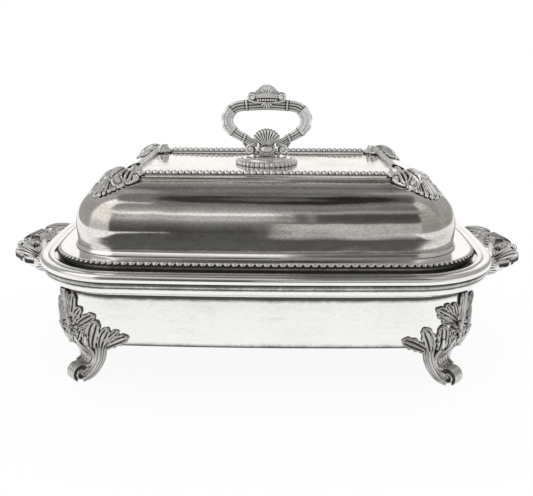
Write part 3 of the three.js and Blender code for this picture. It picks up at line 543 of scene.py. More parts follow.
def makeCover(s):
    a = np.linspace(0, math.acos(s["cornerLeft"] / domeReach), 48)
    a = np.concatenate([a[:1], a[:-1] + (a[1] - a[0]) / 2, a[-1:]])
    distance = domeReach * np.cos(a)
    shoulder = np.stack([cornerRadius - distance, domeHeight(distance)], -1)
    hollow = np.stack([cornerRadius - distance + s["wall"] * np.cos(a),
                       domeHeight(distance) - s["wall"] * np.sin(a)], -1)
    left = cornerRadius - s["cornerLeft"]
    stepFoot = s["top"] - s["step"]
    crown = [[left + 0.25, stepFoot + 0.05], [left + 0.3, stepFoot + 0.5], [left + 0.7, stepFoot + 0.7],
             [left + 0.75, s["top"] - 0.2], [left + s["draw"], s["top"]]]
    footInset, footZ = s["foot"]
    profile = np.vstack([
        [[left + s["draw"], s["top"] - s["wall"]]],
        hollow[::-1], [[footInset + s["wall"], footZ], [footInset, footZ]], shoulder, crown,
    ])
    batch = newBatch()
    addGrid(batch, ringGrid(profile, 480).transpose(1, 0, 2))
    finishPiece("coverDome", batch, silver["dome"], "cover", "cover", sharp=50)


band = {"inner": 25.4, "outer": 24.0, "bottom": 89.8, "height": 2.6}


def makeBand(s):
    profile = eased([
        [s["inner"], s["bottom"]], [s["outer"], s["bottom"]], [s["outer"], s["bottom"] + 0.5],
        [s["inner"] - 0.1, s["bottom"] + s["height"]], [s["inner"], s["bottom"] + s["height"]],
    ], 0.25, 3)
    batch = newBatch()
    addGrid(batch, ringGrid(profile, 320), wrapRows=True)
    finishPiece("coverBand", batch, silver["sheet"], "cover", "cover_base_band")


rails = {"z": 135.3, "width": 4.4, "height": 3.7, "offset": 0.8, "pitch": 4.4, "cut": 11.2, "slant": 0.3}


def makeRail(name, length, turn, shiftX, shiftY, s):
    # a bar of lobes: height * (0.58 + 0.42 |cos(pi s / pitch)|^0.6), rounded across, a flat fillet beside it
    lobes = max(2, round(length / s["pitch"]))
    steps = lobes * 12
    along = np.linspace(-length / 2, length / 2, steps + 1)[:, None]
    across = np.array([-1, -1, -0.86, -0.8, -0.6, -0.35, -0.1, 0.15, 0.4, 0.62, 0.8, 0.86, 1, 1])[None, :]
    crown = np.array([0, 0.24, 0.28, 0.42, 0.75, 0.94, 1, 0.98, 0.86, 0.62, 0.36, 0.24, 0.2, 0])[None, :]
    wave = np.abs(np.cos(math.pi * (along / (length / lobes) + s["slant"] * across))) ** 0.6
    swell = np.clip((crown - 0.28) / 0.3, 0, 1)
    height = s["height"] * crown * (1 - 0.42 * (1 - wave) * swell)
    y = across * s["width"] / 2 * (1 - 0.1 * (1 - wave) * swell)
    # painted shade between the lobes and on the low fillets either side of the bar
    recess = np.clip(1.4 * (1 - wave) * swell - 0.2, 0, 1) + 0.7 * ((crown > 0.22) & (crown < 0.4))
    c, k = math.cos(turn), math.sin(turn)
    places = along * c - y * k + shiftX, along * k + y * c + shiftY, s["z"] + height
    grid = np.stack(np.broadcast_arrays(*places), -1)
    batch = newBatch()
    addGrid(batch, grid, recess=np.clip(recess, 0, 1))
    finishPiece("railGadroon_" + name, batch, silver["gadroon"], "cover",
                "cover_rail_" + name, sharp=60)


makeCover(dome)
makeBand(band)
railY, railX = cornerY + rails["offset"], cornerX + rails["offset"]
longRail, shortRail = 2 * (cornerX - rails["cut"]), 2 * (cornerY - rails["cut"])
makeRail("front", longRail, math.pi, 0, -railY, rails)
makeRail("back", longRail, 0.0, 0, railY, rails)
makeRail("left", shortRail, math.pi / 2, -railX, 0, rails)
makeRail("right", shortRail, -math.pi / 2, railX, 0, rails)
print("cover made")

# Ornament: petals, strands, fans, discs and beads laid on whatever carries them


def curveThrough(knots, values, at):
    # cubic through the values: (2t^3-3t^2+1) A + (t^3-2t^2+t) wa + (3t^2-2t^3) B + (t^3-t^2) wb
    knots, values = np.asarray(knots, float), np.asarray(values, float)
    slope = np.gradient(values, knots, axis=0)
    k = np.clip(np.searchsorted(knots, at, side="right") - 1, 0, len(knots) - 2)
    wide = (knots[k + 1] - knots[k])[..., None]
    t = (np.asarray(at)[..., None] - knots[k][..., None]) / wide
    return (
        (2 * t**3 - 3 * t**2 + 1) * values[k] + (t**3 - 2 * t**2 + t) * wide * slope[k]
        + (3 * t**2 - 2 * t**3) * values[k + 1] + (t**3 - t**2) * wide * slope[k + 1]
    )


def evenPath(points, steps):
    # even steps along a smooth curve through the points, and how far along each of them lies
    points = np.asarray(points, float)
    knots = np.concatenate([[0], np.cumsum(np.linalg.norm(np.diff(points, axis=0), axis=1) ** 0.5)])
    fine = curveThrough(knots, points, np.linspace(0, knots[-1], 1200))
    run = np.concatenate([[0], np.cumsum(np.linalg.norm(np.diff(fine, axis=0), axis=1))])
    at = np.linspace(0, run[-1], steps)
    path = np.stack([np.interp(at, run, column) for column in fine.T], -1)
    ahead = np.gradient(path, axis=0)
    return at, path, ahead / np.linalg.norm(ahead, axis=1, keepdims=True)


def makeTube(points, up, sizes, steps):
    # a smooth curve with its two directions and half sizes at every step
    sizes = np.asarray(sizes, float)
    at, centre, ahead = evenPath(points, steps)
    side = np.cross(ahead, up)
    side /= np.linalg.norm(side, axis=1, keepdims=True)
    size = curveThrough(sizes[:, 0], sizes[:, 1:], at / at[-1])
    return {"run": at, "centre": centre, "side": side, "up": np.cross(side, ahead), "size": size}


def onTube(tube):
    # p runs along the tube, q is the angle round it, h stands off its surface
    def place(p, q, h):
        p, q, h = np.broadcast_arrays(p, q, h)
        part = {k: np.stack([np.interp(p, tube["run"], tube[k][:, j]) for j in range(tube[k].shape[1])], -1)
                for k in ("centre", "side", "up", "size")}
        across = (part["size"][..., 0] + h) * np.cos(q)
        high = (part["size"][..., 1] + h) * np.sin(q)
        return part["centre"] + part["side"] * across[..., None] + part["up"] * high[..., None]

    return place


def addTube(batch, tube, section, sides):
    # section(u, angle) -> shares of the two half sizes and the recess
    u = (tube["run"] / tube["run"][-1])[:, None]
    angle = np.arange(sides)[None, :] * tau / sides
    across, high, recess = section(u, angle)
    across, high = across * tube["size"][:, :1], high * tube["size"][:, 1:2]
    grid = tube["centre"][:, None] + tube["side"][:, None] * across[..., None]
    addGrid(batch, grid + tube["up"][:, None] * high[..., None], np.clip(recess, 0, 1))


def roundBar(u, angle):
    # plain round section, with painted shade on its underside where it meets the ground
    low = np.clip(0.25 - np.sin(angle), 0, 1) + 0 * u
    return np.cos(angle) + 0 * u, np.sin(angle) + 0 * u, low


def addBar(batch, points, up, sizes, steps=40):
    addTube(batch, makeTube(points, up, sizes, steps), roundBar, 12)


def addSlab(batch, place, rise, steps, sides):
    # rise(u, v) -> p, q, top, bottom, recess; rings go over the top from v = -1 to 1 and back underneath
    u = np.linspace(0, 1, steps)[:, None]
    v = np.sin(np.linspace(-1, 1, sides) * math.pi / 2)[None, :]
    p, q, top, bottom, recess = np.broadcast_arrays(*rise(u, v))
    over, under = place(p, q, top), place(p, q, bottom)
    # the underside and sides get a fixed 0.7 recess: painted shade that outlines every petal, strand and fan
    shade = np.clip(np.concatenate([recess, np.full_like(recess, 0.7)], 1), 0, 1)
    addGrid(batch, np.concatenate([over, under[:, ::-1]], 1), shade)


def addPetal(batch, place, base, tip, wide, high, bend=0.0, lift=0.0, root=0.5, fat=0.68, sink=0.5, dark=0.8,
             steps=26, lobes=0.0, point=0.5, edge=6):
    # axis = base + u (tip - base) + 4 u (1 - u) bend. The half width grows from root * wide to wide at `fat`,
    # then closes as (1 - w^2)^point, and `lobes` cuts notches into it. Height = high * sqrt(1 - |v|^edge)
    # with three ribs, raised by lift * u^2; valleys between the ribs, edges, root and tip are dark.
    base, tip = np.asarray(base, float), np.asarray(tip, float)
    chord = tip - base
    across = np.array([-chord[1], chord[0]]) / np.hypot(*chord)

    def rise(u, v):
        axis = base + u[..., None] * chord + (4 * u * (1 - u) * bend)[..., None] * across
        ahead = chord + (4 * (1 - 2 * u) * bend)[..., None] * across
        ahead = ahead / np.linalg.norm(ahead, axis=-1, keepdims=True)
        grown = root + (1 - root) * np.sin(math.pi / 2 * np.clip(u / fat, 0, 1))
        closing = np.clip(1 - (np.clip(u - fat, 0, 1) / (1 - fat)) ** 2, 0.0004, 1) ** point
        notch = 1 - lobes * (0.5 - 0.5 * np.cos(tau * 3.4 * u + (v > 0) * 1.3)) * (u > 0.1)
        half = wide * grown * closing * notch
        a = np.abs(v)
        wave = (0.5 + 0.5 * np.cos(math.pi * 3 * v * notch)) ** 0.8
        body = np.sqrt(np.clip(1 - a**edge, 0, 1)) * np.sqrt(np.clip(1 - u**12, 0, 1))
        body = body * (0.45 + 0.55 * np.clip(u / 0.25, 0, 1))
        valley = (1 - wave) * np.clip((1 - u) / 0.16, 0, 1) * (a * notch < 0.85)
        top = high * (1 - 0.5 * valley) * body + lift * u**2
        # painted shade: the valleys between the ribs (also oxide), the edges, the root and the tip are
        # darkened
        recess = valley ** (1 + 4 * lobes) * (1 + 2 * lobes) + 0.8 * a**14 + 0.5 * (1 - u) ** 4 + 0.5 * u**30
        p, q = axis[..., 0] - ahead[..., 1] * v * half, axis[..., 1] + ahead[..., 0] * v * half
        return p, q, top, -sink, dark * recess

    addSlab(batch, place, rise, steps, 21)


def addStrand(batch, place, points, sizes, sink=0.5, steps=36, sides=9, reed=0.0):
    # a half-round ridge along a smooth path; sizes rows hold share, half width, height and lift
    at, path, ahead = evenPath(points, steps)
    sizes = np.asarray(sizes, float)
    size = curveThrough(sizes[:, 0], sizes[:, 1:], at / at[-1])

    def rise(u, v):
        half, high, lift = (size[:, k:k + 1] for k in range(3))
        groove = np.exp(-((np.abs(v) / 0.2) ** 2))
        top = lift + high * np.clip(1 - v**2, 0, 1) ** 0.4 * (1 - reed * groove)
        p, q = path[:, :1] - ahead[:, 1:] * half * v, path[:, 1:] + ahead[:, :1] * half * v
        # painted shade along the edges, and in the middle groove of reeded strands
        return p, q, top, -sink, 0.9 * np.abs(v) ** 8 + 1.6 * reed * groove

    addSlab(batch, place, rise, steps, sides)


def spiral(centre, radius, start, turns):
    # from the outside in: angle = start + turns * share, and the radius shrinks to 0.3 of itself
    share = np.linspace(0, 1, 22)
    reach = radius * (1 - share * 0.7)
    angle = tau * (start + turns * share)
    return [(centre[0] + r * math.cos(a), centre[1] + r * math.sin(a)) for r, a in zip(reach, angle)]


def addScroll(batch, place, tail, centre, radius, start, turns, thick, high, lift=0.0):
    # a strand that comes along its tail and winds in to a round eye, over a bed darkened all over as painted
    # shade
    bed = button(radius * 0.98, radius * 0.98, 0.3 * high + lift, 1.0)
    addDisc(batch, place, centre, bed, 0.5, rings=5, sides=26)
    path = list(tail) + spiral(centre, radius - thick * 0.6, start, turns)
    root, tip = [0, thick * 0.75, high * 0.8, 0.6 * lift], [1, thick * 0.6, high, lift]
    addStrand(batch, place, path, [root, [0.5, thick, high, lift], tip], steps=64)
    eye = button(radius * 0.42, radius * 0.42, high * 1.25 + lift)
    addDisc(batch, place, centre, eye, 0.5, rings=7, sides=20)


def addFan(batch, place, root, radius, inner, opening, ribs, high, relief, turn=0.0, scallop=0.08, sink=0.4,
           hollow=0.0, steps=16, perRib=8):
    # a shell: radius notched between the ribs, height = dome of the radius + rib wave that grows outwards
    def rise(u, v):
        v = np.linspace(-1, 1, ribs * perRib + 1)[None, :]
        wave = np.abs(np.cos(math.pi * ribs * v / 2 + (math.pi / 2 if ribs % 2 == 0 else 0))) ** 0.8
        reach = inner + (radius * (1 - scallop * (1 - wave)) * (1 - 0.06 * v**2) - inner) * u
        a = turn + v * opening
        dome = np.sqrt(np.clip(1 - (u * 0.985) ** 5, 0, 1))
        top = high * (dome * (1 - hollow * np.sin(math.pi * u)) * (1 - 0.25 * v**4))
        top = top - relief * (1 - wave) * u**0.5 * (1 - u**12)
        # painted shade between the ribs, stronger outwards, and at the root; oxide in the grooves too
        recess = 1.35 * (1 - wave) * u**0.25 * (1 - 0.5 * u**6) + 0.5 * (u < 0.08)
        return root[0] + reach * np.sin(a), root[1] + reach * np.cos(a), top, -sink, recess

    addSlab(batch, place, rise, steps, 3)


def addDisc(batch, place, centre, shape, sink, rings=16, sides=40):
    # shape(share, angle) -> edge radii p and q, height, recess; rings go out over the top and back underneath
    share = np.concatenate([np.linspace(0.02, 1, rings), [1.0, 0.02]])[:, None]
    angle = np.arange(sides)[None, :] * tau / sides
    edgeP, edgeQ, height, recess = np.broadcast_arrays(*shape(share, angle))
    height = np.where(np.arange(rings + 2)[:, None] >= rings, -sink, height)
    p, q = centre[0] + edgeP * share * np.cos(angle), centre[1] + edgeQ * share * np.sin(angle)
    addGrid(batch, place(p, q, height), np.clip(recess, 0, 1))


def volute(radius, high, turns, hand):
    # a spiral ridge that winds in to a round eye
    def shape(share, angle):
        coil = 0.5 + 0.5 * np.cos(tau * (turns * share) - hand * angle)
        eye = np.exp(-((share / 0.2) ** 2))
        body = np.sqrt(np.clip(1 - share**6, 0, 1))
        height = high * (0.45 * body + 0.35 * coil * body + 0.5 * eye)
        # painted shade between the coils, with oxide in them too
        return radius, radius, height, 0.65 * (1 - coil) * (1 - eye) * (share < 0.97)

    return shape


def rosette(radius, high, petals):
    # petals round a raised middle bead
    def shape(share, angle):
        lobe = np.abs(np.cos(petals * angle / 2)) ** 0.6
        edge = radius * (0.74 + 0.26 * lobe)
        eye = np.exp(-((share / 0.24) ** 4))
        cup = np.sin(math.pi * np.clip(share, 0, 1) ** 0.8) ** 0.7
        height = high * (0.25 + 0.6 * cup * (0.4 + 0.6 * lobe) + 0.7 * eye)
        height = height * np.sqrt(np.clip(1 - share**8, 0, 1))
        # painted shade between the petals and in a ring round the middle bead
        recess = (1 - lobe) * 1.3 * (share > 0.3) + np.exp(-(((share - 0.33) / 0.07) ** 2))
        return edge, edge, height, recess

    return shape


def button(wide, tall, high, dark=0.0):
    # a smooth oval boss: height = high * sqrt(1 - share^2)
    def shape(share, angle):
        # painted shade round the edge; `dark` sets a floor of painted shade over the whole boss, as for the
        # dark beds behind scrolls and beads
        return wide, tall, high * np.sqrt(np.clip(1 - share**2, 0, 1)), np.maximum(0.8 * share**6, dark)

    return shape


def cup(wide, tall, high, ribs):
    # a hollow with a bright rim and ribs running down into painted shade inside
    def shape(share, angle):
        rim = np.exp(-(((share - 0.86) / 0.12) ** 2))
        wave = np.abs(np.cos(ribs * angle / 2))
        inside = (share < 0.76) * (0.45 + 0.7 * (1 - wave))
        return wide, tall, high * (rim + 0.1 + 0.2 * wave * share * (1 - rim)), inside

    return shape


def ringed(wide, tall, high, band):
    # an oval rim standing round a sunk bed with a boss in it
    def shape(share, angle):
        rim = np.exp(-(((share - 1 + band) / (band * 0.6)) ** 4))
        boss = np.sqrt(np.clip(1 - (share / 0.52) ** 2, 0, 1))
        height = high * np.maximum(rim * 0.85, np.maximum(boss, 0.25)) * np.sqrt(np.clip(1 - share**12, 0, 1))
        # painted shade in the sunk bed between the rim and the boss
        return wide, tall, height, 1.2 * np.exp(-(((share - 0.62) / 0.12) ** 2))

    return shape


def addBeads(batch, place, spots, radius, lift):
    # small balls, a few dozen faces each: rings by latitude round each spot; their lower half is painted
    # shade
    polar = np.linspace(0.12, math.pi - 0.12, 6)[:, None]
    around = np.arange(8)[None, :] * tau / 8
    x, y = radius * np.sin(polar) * np.cos(around), radius * np.sin(polar) * np.sin(around)
    for p, q in spots:
        addGrid(batch, place(p + x, q + y, lift + radius * np.cos(polar)), 0.9 * (polar > 1.7))


def facing(y, z, side):
    # a plane that faces the front (side -1) or the back (side 1)
    def place(p, q, h):
        return np.stack(np.broadcast_arrays(p, side * (y + h), z + q), -1)

    return place


# Handle of the cover: base, stem, reeded loop, shells and crest

handle = {
    "baseRadius": 23.5, "baseZ": 135.3, "baseHeight": 5.0, "lobes": 37, "stemZ": 140.6, "stemHeight": 11.5,
    "loopHalf": 29.3, "loopRise": 29.0, "band": 8.4, "depth": 5.6, "reeds": 4,
    "eye": (12.4, 145.4), "eyeRadius": 4.0, "shellRoot": 147.4, "shellRadius": 13.2,
    # profile of the base: shares of the radius, of the height and of the lobes
    "base": [
        (1.0, 0.0, 1), (1.0, 0.12, 1), (0.995, 0.3, 1), (0.97, 0.46, 1), (0.93, 0.58, 1), (0.875, 0.655, 0.8),
        (0.83, 0.66, 0.1), (0.8, 0.6, 0), (0.775, 0.62, 0), (0.765, 0.72, 0), (0.75, 0.82, 0), (0.7, 0.93, 0),
        (0.62, 0.99, 0), (0.5, 1.0, 0), (0.2, 1.0, 0),
    ],
    # post of the stem: share of the height, half width and half depth
    "post": [(0, 6.5, 3.2), (0.05, 6.4, 3.2), (0.15, 5.2, 2.9), (0.35, 4.9, 2.8), (0.6, 5.3, 2.9),
             (0.85, 6.2, 3.1), (1.0, 6.4, 3.2)],
    # leaves beside the volutes: base, tip and half width
    "leaves": [((5.2, 142.6), (10.6, 141.6), 1.6), ((11.0, 142.4), (16.2, 141.8), 1.5),
               ((15.4, 147.5), (17.0, 152.2), 1.6)],
    # the loop's right half from the stem to its top, as shares of its half width and rise
    "path": [
        (0.235, 0.0), (0.29, 0.005), (0.38, 0.04), (0.5, 0.115), (0.71, 0.22), (0.9, 0.365), (0.99, 0.51),
        (1, 0.66), (0.93, 0.805), (0.79, 0.92), (0.59, 0.965), (0.36, 0.98), (0, 1.0),
    ],
    # the loop's half width along that half, as shares of its length and of the band
    "bandShares": [(0, 0.3), (0.08, 0.38), (0.2, 0.52), (0.36, 0.48), (0.5, 0.5)],
    # shares of the loop's length: middle of the collar, pitch of its notches, cross bands, lips, dark lines
    "collar": 0.225, "notch": 0.044, "bands": (0.085, 0.385), "lips": (0.16, 0.29),
    "lines": (0.076, 0.094, 0.152, 0.298, 0.376, 0.394),
}


def makeHandleBase(s):
    # radius = share * base radius - lobe wave where the border's share is 1
    rows = np.array(s["base"])
    rings = curveThrough(np.linspace(0, 1, len(rows)), rows, np.linspace(0, 1, 44))
    angle = np.arange(s["lobes"] * 12)[None, :] * tau / (s["lobes"] * 12)
    wave = np.abs(np.cos(s["lobes"] * angle / 2 + 0.5 * rings[:, 1:2])) ** 0.7
    lobe = np.clip(rings[:, 2:3], 0, 1)
    radius = rings[:, :1] * s["baseRadius"] - 1.1 * lobe * (1 - wave)
    z = s["baseZ"] + rings[:, 1:2] * s["baseHeight"] - 0.4 * lobe * (1 - wave) * (rings[:, 1:2] > 0.1)
    grid = np.stack(np.broadcast_arrays(radius * np.cos(angle), radius * np.sin(angle), z), -1)
    grid[0, :, 2] = s["baseZ"]
    # painted shade between the lobes and in the quirk at 0.8 of the radius, also oxide
    recess = 0.75 * lobe * (1 - wave) + np.exp(-(((rings[:, :1] - 0.8) / 0.025) ** 2))
    batch = newBatch()
    addGrid(batch, grid, np.clip(recess, 0, 1))
    finishPiece("handleFoot", batch, silver["gadroon"], "handle", "handle_base",
                sharp=60)


def makeStem(s):
    batch = newBatch()
    share, half, deep = np.array(s["post"]).T[..., None]
    a = np.arange(40) * tau / 40
    x = np.sign(np.cos(a)) * np.abs(np.cos(a)) ** 0.5 * half
    y = np.sign(np.sin(a)) * np.abs(np.sin(a)) ** 0.5 * deep
    z = share * s["stemHeight"] + s["stemZ"]
    # the post is darkened by a fixed 0.7 recess: painted shade behind the cabochons and scrolls
    addGrid(batch, np.stack(np.broadcast_arrays(x, y, z), -1), 0.7)
    ring = np.arange(20) * tau / 20
    for side in (-1, 1):
        face, flat = facing(2.6, s["stemZ"], side), facing(0.0, 0.0, side)
        for x in (-4.8, -2.4, 0, 2.4, 4.8):
            addPetal(batch, face, (0.5 * x, 4.6), (1.15 * x, 0.1), 1.25, 1.7, lift=0.5)
        addDisc(batch, face, (0, 5.4), button(5.0, 2.6, 2.9), 0.4, sides=48)
        addBeads(batch, face, list(zip(6.0 * np.cos(ring), 5.4 + 3.4 * np.sin(ring))), 0.62, 0.9)
        for turned in (-1, 1):
            eye = (turned * s["eye"][0], s["eye"][1])
            tail = [(turned * 5.2, eye[1] + 6.0), (turned * 8.8, eye[1] + 5.3)]
            addScroll(batch, flat, tail, eye, s["eyeRadius"], 0.25, -1.35 * turned, 1.15, 2.7)
            for base, tip, wide in s["leaves"]:
                addPetal(batch, flat, (turned * base[0], base[1]), (turned * tip[0], tip[1]), wide, 2.3)
    finishPiece("stemCabochon", batch, silver["handle"], "handle", "handle_stem")


def makeLoop(s):
    bottom = s["stemZ"] + s["stemHeight"] - s["band"] * 0.3
    right = [[x * s["loopHalf"], 0, bottom + z * s["loopRise"]] for x, z in s["path"]]
    path = right + [[-x, y, z] for x, y, z in right[-2::-1]]
    half = s["bandShares"] + [(1 - u, w) for u, w in s["bandShares"][-2::-1]]
    tube = makeTube(path, (0, 1, 0), [[u, w * s["band"], s["depth"] / 2] for u, w in half], 460)

    def section(u, angle):
        # reeds along the flat faces, smooth notched collars at the sides, cross bands at the reeds' ends
        near = np.minimum(u, 1 - u)

        def ridges(places, wide):
            return sum(np.exp(-(((near - at) / wide) ** 2)) for at in places)

        fromCollar = near - s["collar"]
        collar = np.clip(3.2 - np.abs(fromCollar) / 0.025, 0, 1)
        band, lip, dark = ridges(s["bands"], 0.005), ridges(s["lips"], 0.005), ridges(s["lines"], 0.003)
        flat = np.cos(angle)
        x = np.sign(flat) * np.abs(flat) ** 0.72
        y = np.sign(np.sin(angle)) * np.abs(np.sin(angle)) ** 0.5
        wave = np.abs(np.sin(math.pi * s["reeds"] * x / 2)) ** 0.35
        reed = (1 - wave) * (1 - collar) * (1 - np.clip(band + lip, 0, 1)) * (np.abs(x) < 0.93)
        notch = collar * (0.5 + 0.5 * np.cos(tau * fromCollar / s["notch"])) * (flat < -0.5) * 0.07
        leaf = np.clip(np.abs(x) * 2.2 - 0.2, 0, 1) * np.abs(np.cos(math.pi * fromCollar / s["notch"])) ** 0.2
        valley = collar * (1 - leaf - (np.abs(x) <= 0.3))
        swell = 1 + 0.07 * collar + 0.1 * band + 0.09 * lip
        # painted shade in the grooves between the reeds, along the dark lines beside the bands, in the
        # collars' valleys and at the lower ends by the stem; the upper part of the loop is a little darker
        recess = 1.3 * reed + 0.8 * dark + 0.4 * valley + 0.2 * (near < 0.07) + 0.25 * (near > 0.3)
        return x * (swell - notch) * 0.97, y * (swell - 0.34 * reed - 0.1 * valley) * 0.93, recess

    batch = newBatch()
    addTube(batch, tube, section, 96)
    finishPiece("loopReeded", batch, silver["handle"], "handle", "handle_loop")


crest = {
    # bar along the loop's top: places along, rise over the seat, half depth and half height
    "gap": 0.3, "bar": [(-8.6, 1.7, 4.2, 1.6), (0, 1.9, 4.4, 1.8), (8.6, 1.7, 4.2, 1.6)],
    # shells: root, radius, inner radius, opening, ribs, height and relief; the last one hangs down
    "shells": [((0, 0.5), 9.4, 5.0, 1.12, 13, 1.9, 0.5), ((0, 0.2), 8.3, 1.0, 0.9, 7, 3.6, 1.7),
               ((0, -1.6), 5.7, 1.2, 1.0, 5, 1.8, 0.8)],
    # the rest lies on a plane this far before the loop's middle: two ridges (half length, rise at the ends
    # and in the middle, half width and height), the beads between them, a scroll and a leaf at either end
    "cheek": 3.3, "ridges": [(8, 0.6, 0.9, 0.7, 1.6), (7, -3.0, -3.2, 0.5, 1.1)], "beadZ": -1.3,
    "beadReach": 6.5, "tail": ((5.6, -2.6), (8.4, -2.9)), "scroll": (10.9, 0.7), "scrollRadius": 3.4,
    "leaf": ((9.6, 2.6), (5.6, 5.2)),
}


def makeCrest(s, c):
    # below the seat, everything stands in relief before and behind the loop, on planes just clear of it
    batch = newBatch()
    seat = s["stemZ"] + s["stemHeight"] - s["band"] * 0.3 + s["loopRise"] + s["band"] / 2 + c["gap"]
    sizes = [[k / 2, deep, high] for k, (_, _, deep, high) in enumerate(c["bar"])]
    addBar(batch, [[x, 0, seat + rise] for x, rise, _, _ in c["bar"]], (0, 0, 1), sizes)
    low, tall, drop = c["shells"]
    for side in (-1, 1):
        face, cheek = facing(0.0, seat, side), facing(c["cheek"], seat, side)
        addFan(batch, face, *low, scallop=0.1, sink=0.0, steps=10)
        addFan(batch, face, *tall, scallop=0.1, sink=0.0, hollow=0.2)
        for reach, atEnds, inMiddle, wide, high in c["ridges"]:
            path = [(-reach, atEnds), (0, inMiddle), (reach, atEnds)]
            addStrand(batch, cheek, path, [[0, wide, high, 0.0], [1, wide, high, 0.0]], sink=0.4)
        # a flat oval behind the beads, darkened all over as painted shade
        addDisc(batch, cheek, (0, c["beadZ"]), button(8.2, 1.9, 0.5, 1.0), 0.4, rings=5)
        beads = [(x, c["beadZ"]) for x in np.linspace(-c["beadReach"], c["beadReach"], 8)]
        addBeads(batch, cheek, beads, 0.85, 0.9)
        addFan(batch, cheek, *drop, turn=math.pi, scallop=0.14)
        for turned in (-1, 1):
            def own(point, turned=turned):
                return (turned * point[0], point[1])

            tail = [own(point) for point in c["tail"]]
            addScroll(batch, cheek, tail, own(c["scroll"]), c["scrollRadius"], -0.25, 1.3 * turned, 0.85, 1.7)
            addPetal(batch, cheek, *(own(point) for point in c["leaf"]), 1.3, 1.0, sink=3.2)
    finishPiece("crestShell", batch, silver["handle"], "handle", "handle_crest")


def makeHandleShell(name, side, s):
    batch = newBatch()
    face = facing(3.5, s["shellRoot"], side)
    addFan(batch, face, (0, 0.0), s["shellRadius"], 2.4, 0.98, 10, 3.1, 1.7, sink=0.0, hollow=0.2, steps=22,
           perRib=10)
    finishPiece("loopShell_" + name, batch, silver["handle"], "handle",
                "handle_shell_" + name)


makeHandleBase(handle)
makeStem(handle)
makeLoop(handle)
makeCrest(handle, crest)
makeHandleShell("front", -1, handle)
makeHandleShell("back", 1, handle)
print("cover handle made")

# Corner mounts of the cover

mount = {
    "bridge": (5.5, 10.56), "gap": 0.2, "crown": 4.6, "crownPlace": (10, 9.5, 7.5),
    # base, tip, half width, height, bend and lift of each petal on one side of the diagonal
    "petals": [
        ((-3, 3), (9.5, 9.4), 3.4, 2.2, 1.2, 0.3), ((0, 1.5), (16.5, 5.0), 3.2, 2.9, 1.0, 0.5),
        ((13, 1.5), (25.6, 3.9), 1.7, 2.2, 0.3, 0.2), ((15, 3), (23.4, 7.2), 1.6, 2.0, 0.4, 0.2),
        ((13, 6), (19.5, 10.0), 1.7, 2.0, 0.3, 0.2),
    ],
    # ground under the ornament: share of its length, half width, thickness and lift
    "ground": [[0, 3.5, 0.6, 0], [0.12, 6.4, 0.6, 0], [0.35, 8.8, 0.6, 0], [0.62, 10, 0.6, 0],
               [0.82, 8.4, 0.6, 0], [1, 2, 0.5, 0]],
    # scrolls on one side: tail points, eye, radius, start and turns, thickness and height
    "scrolls": [(((-9.5, 1.5), (-9.0, 5)), (-4.6, 6.6), 2.7, -0.5, -1.3, 0.9, 2.6),
                (((8.5, 12.2), (4.5, 12.4)), (1.2, 9.9), 2.4, 0.25, 1.2, 0.8, 2.2)],
    "volute": (13.2, 7.4), "berries": ((19.2, 1.9), (20.5, 5.2), (9.2, 3.2)),
    # line of the edge's beads
    "edge": ((-6, 7.6), (0, 9.6), (6, 11), (13, 11), (19.5, 9.4), (24, 6.4), (26.6, 2.4)),
    # ring at the upper end: place along, half sizes, height and share of its rim, how steeply it leans out
    "ring": -4.2, "ringShape": (6.2, 5.6, 3.4, 0.24), "ringLean": 0.45,
}


def underMount(distance):
    # the plateau, a straight bridge over its step, then the dome
    start, end = mount["bridge"]
    share = np.clip((distance - start) / (end - start), 0, 1)
    low = domeHeight(np.float64(end))
    return np.where(distance >= end, domeHeight(distance), dome["top"] + (low - dome["top"]) * share)


def onShoulder(along, across, lift):
    # along the corner's diagonal and across it, lifted off the surface; the ornament's middle stands higher
    along, across, lift = np.broadcast_arrays(along, across, lift)
    x = cornerX + (along - across) * diagonal
    y = cornerY + (along + across) * diagonal
    outX, outY = np.maximum(x - cornerX, 0), np.maximum(y - cornerY, 0)
    distance = np.hypot(outX, outY)
    safe = np.maximum(distance, 1e-6)
    slope = (underMount(distance + 0.4) - underMount(distance - 0.4)) / 0.8 * (distance > 3)
    steep = np.sqrt(1 + slope**2)
    middle, long, wide = mount["crownPlace"]
    crown = mount["crown"] * np.exp(-(((along - middle) / long) ** 2) - (across / wide) ** 4)
    lift = lift + crown * np.clip(lift / 1.5, 0, 1)
    z = underMount(distance) + mount["gap"]
    leanX, leanY = slope * outX / safe * lift / steep, slope * outY / safe * lift / steep
    return np.stack([x - leanX, y - leanY, z + lift / steep], -1)


def mirrorAcross(points, side):
    return [(p, side * q) for p, q in points]


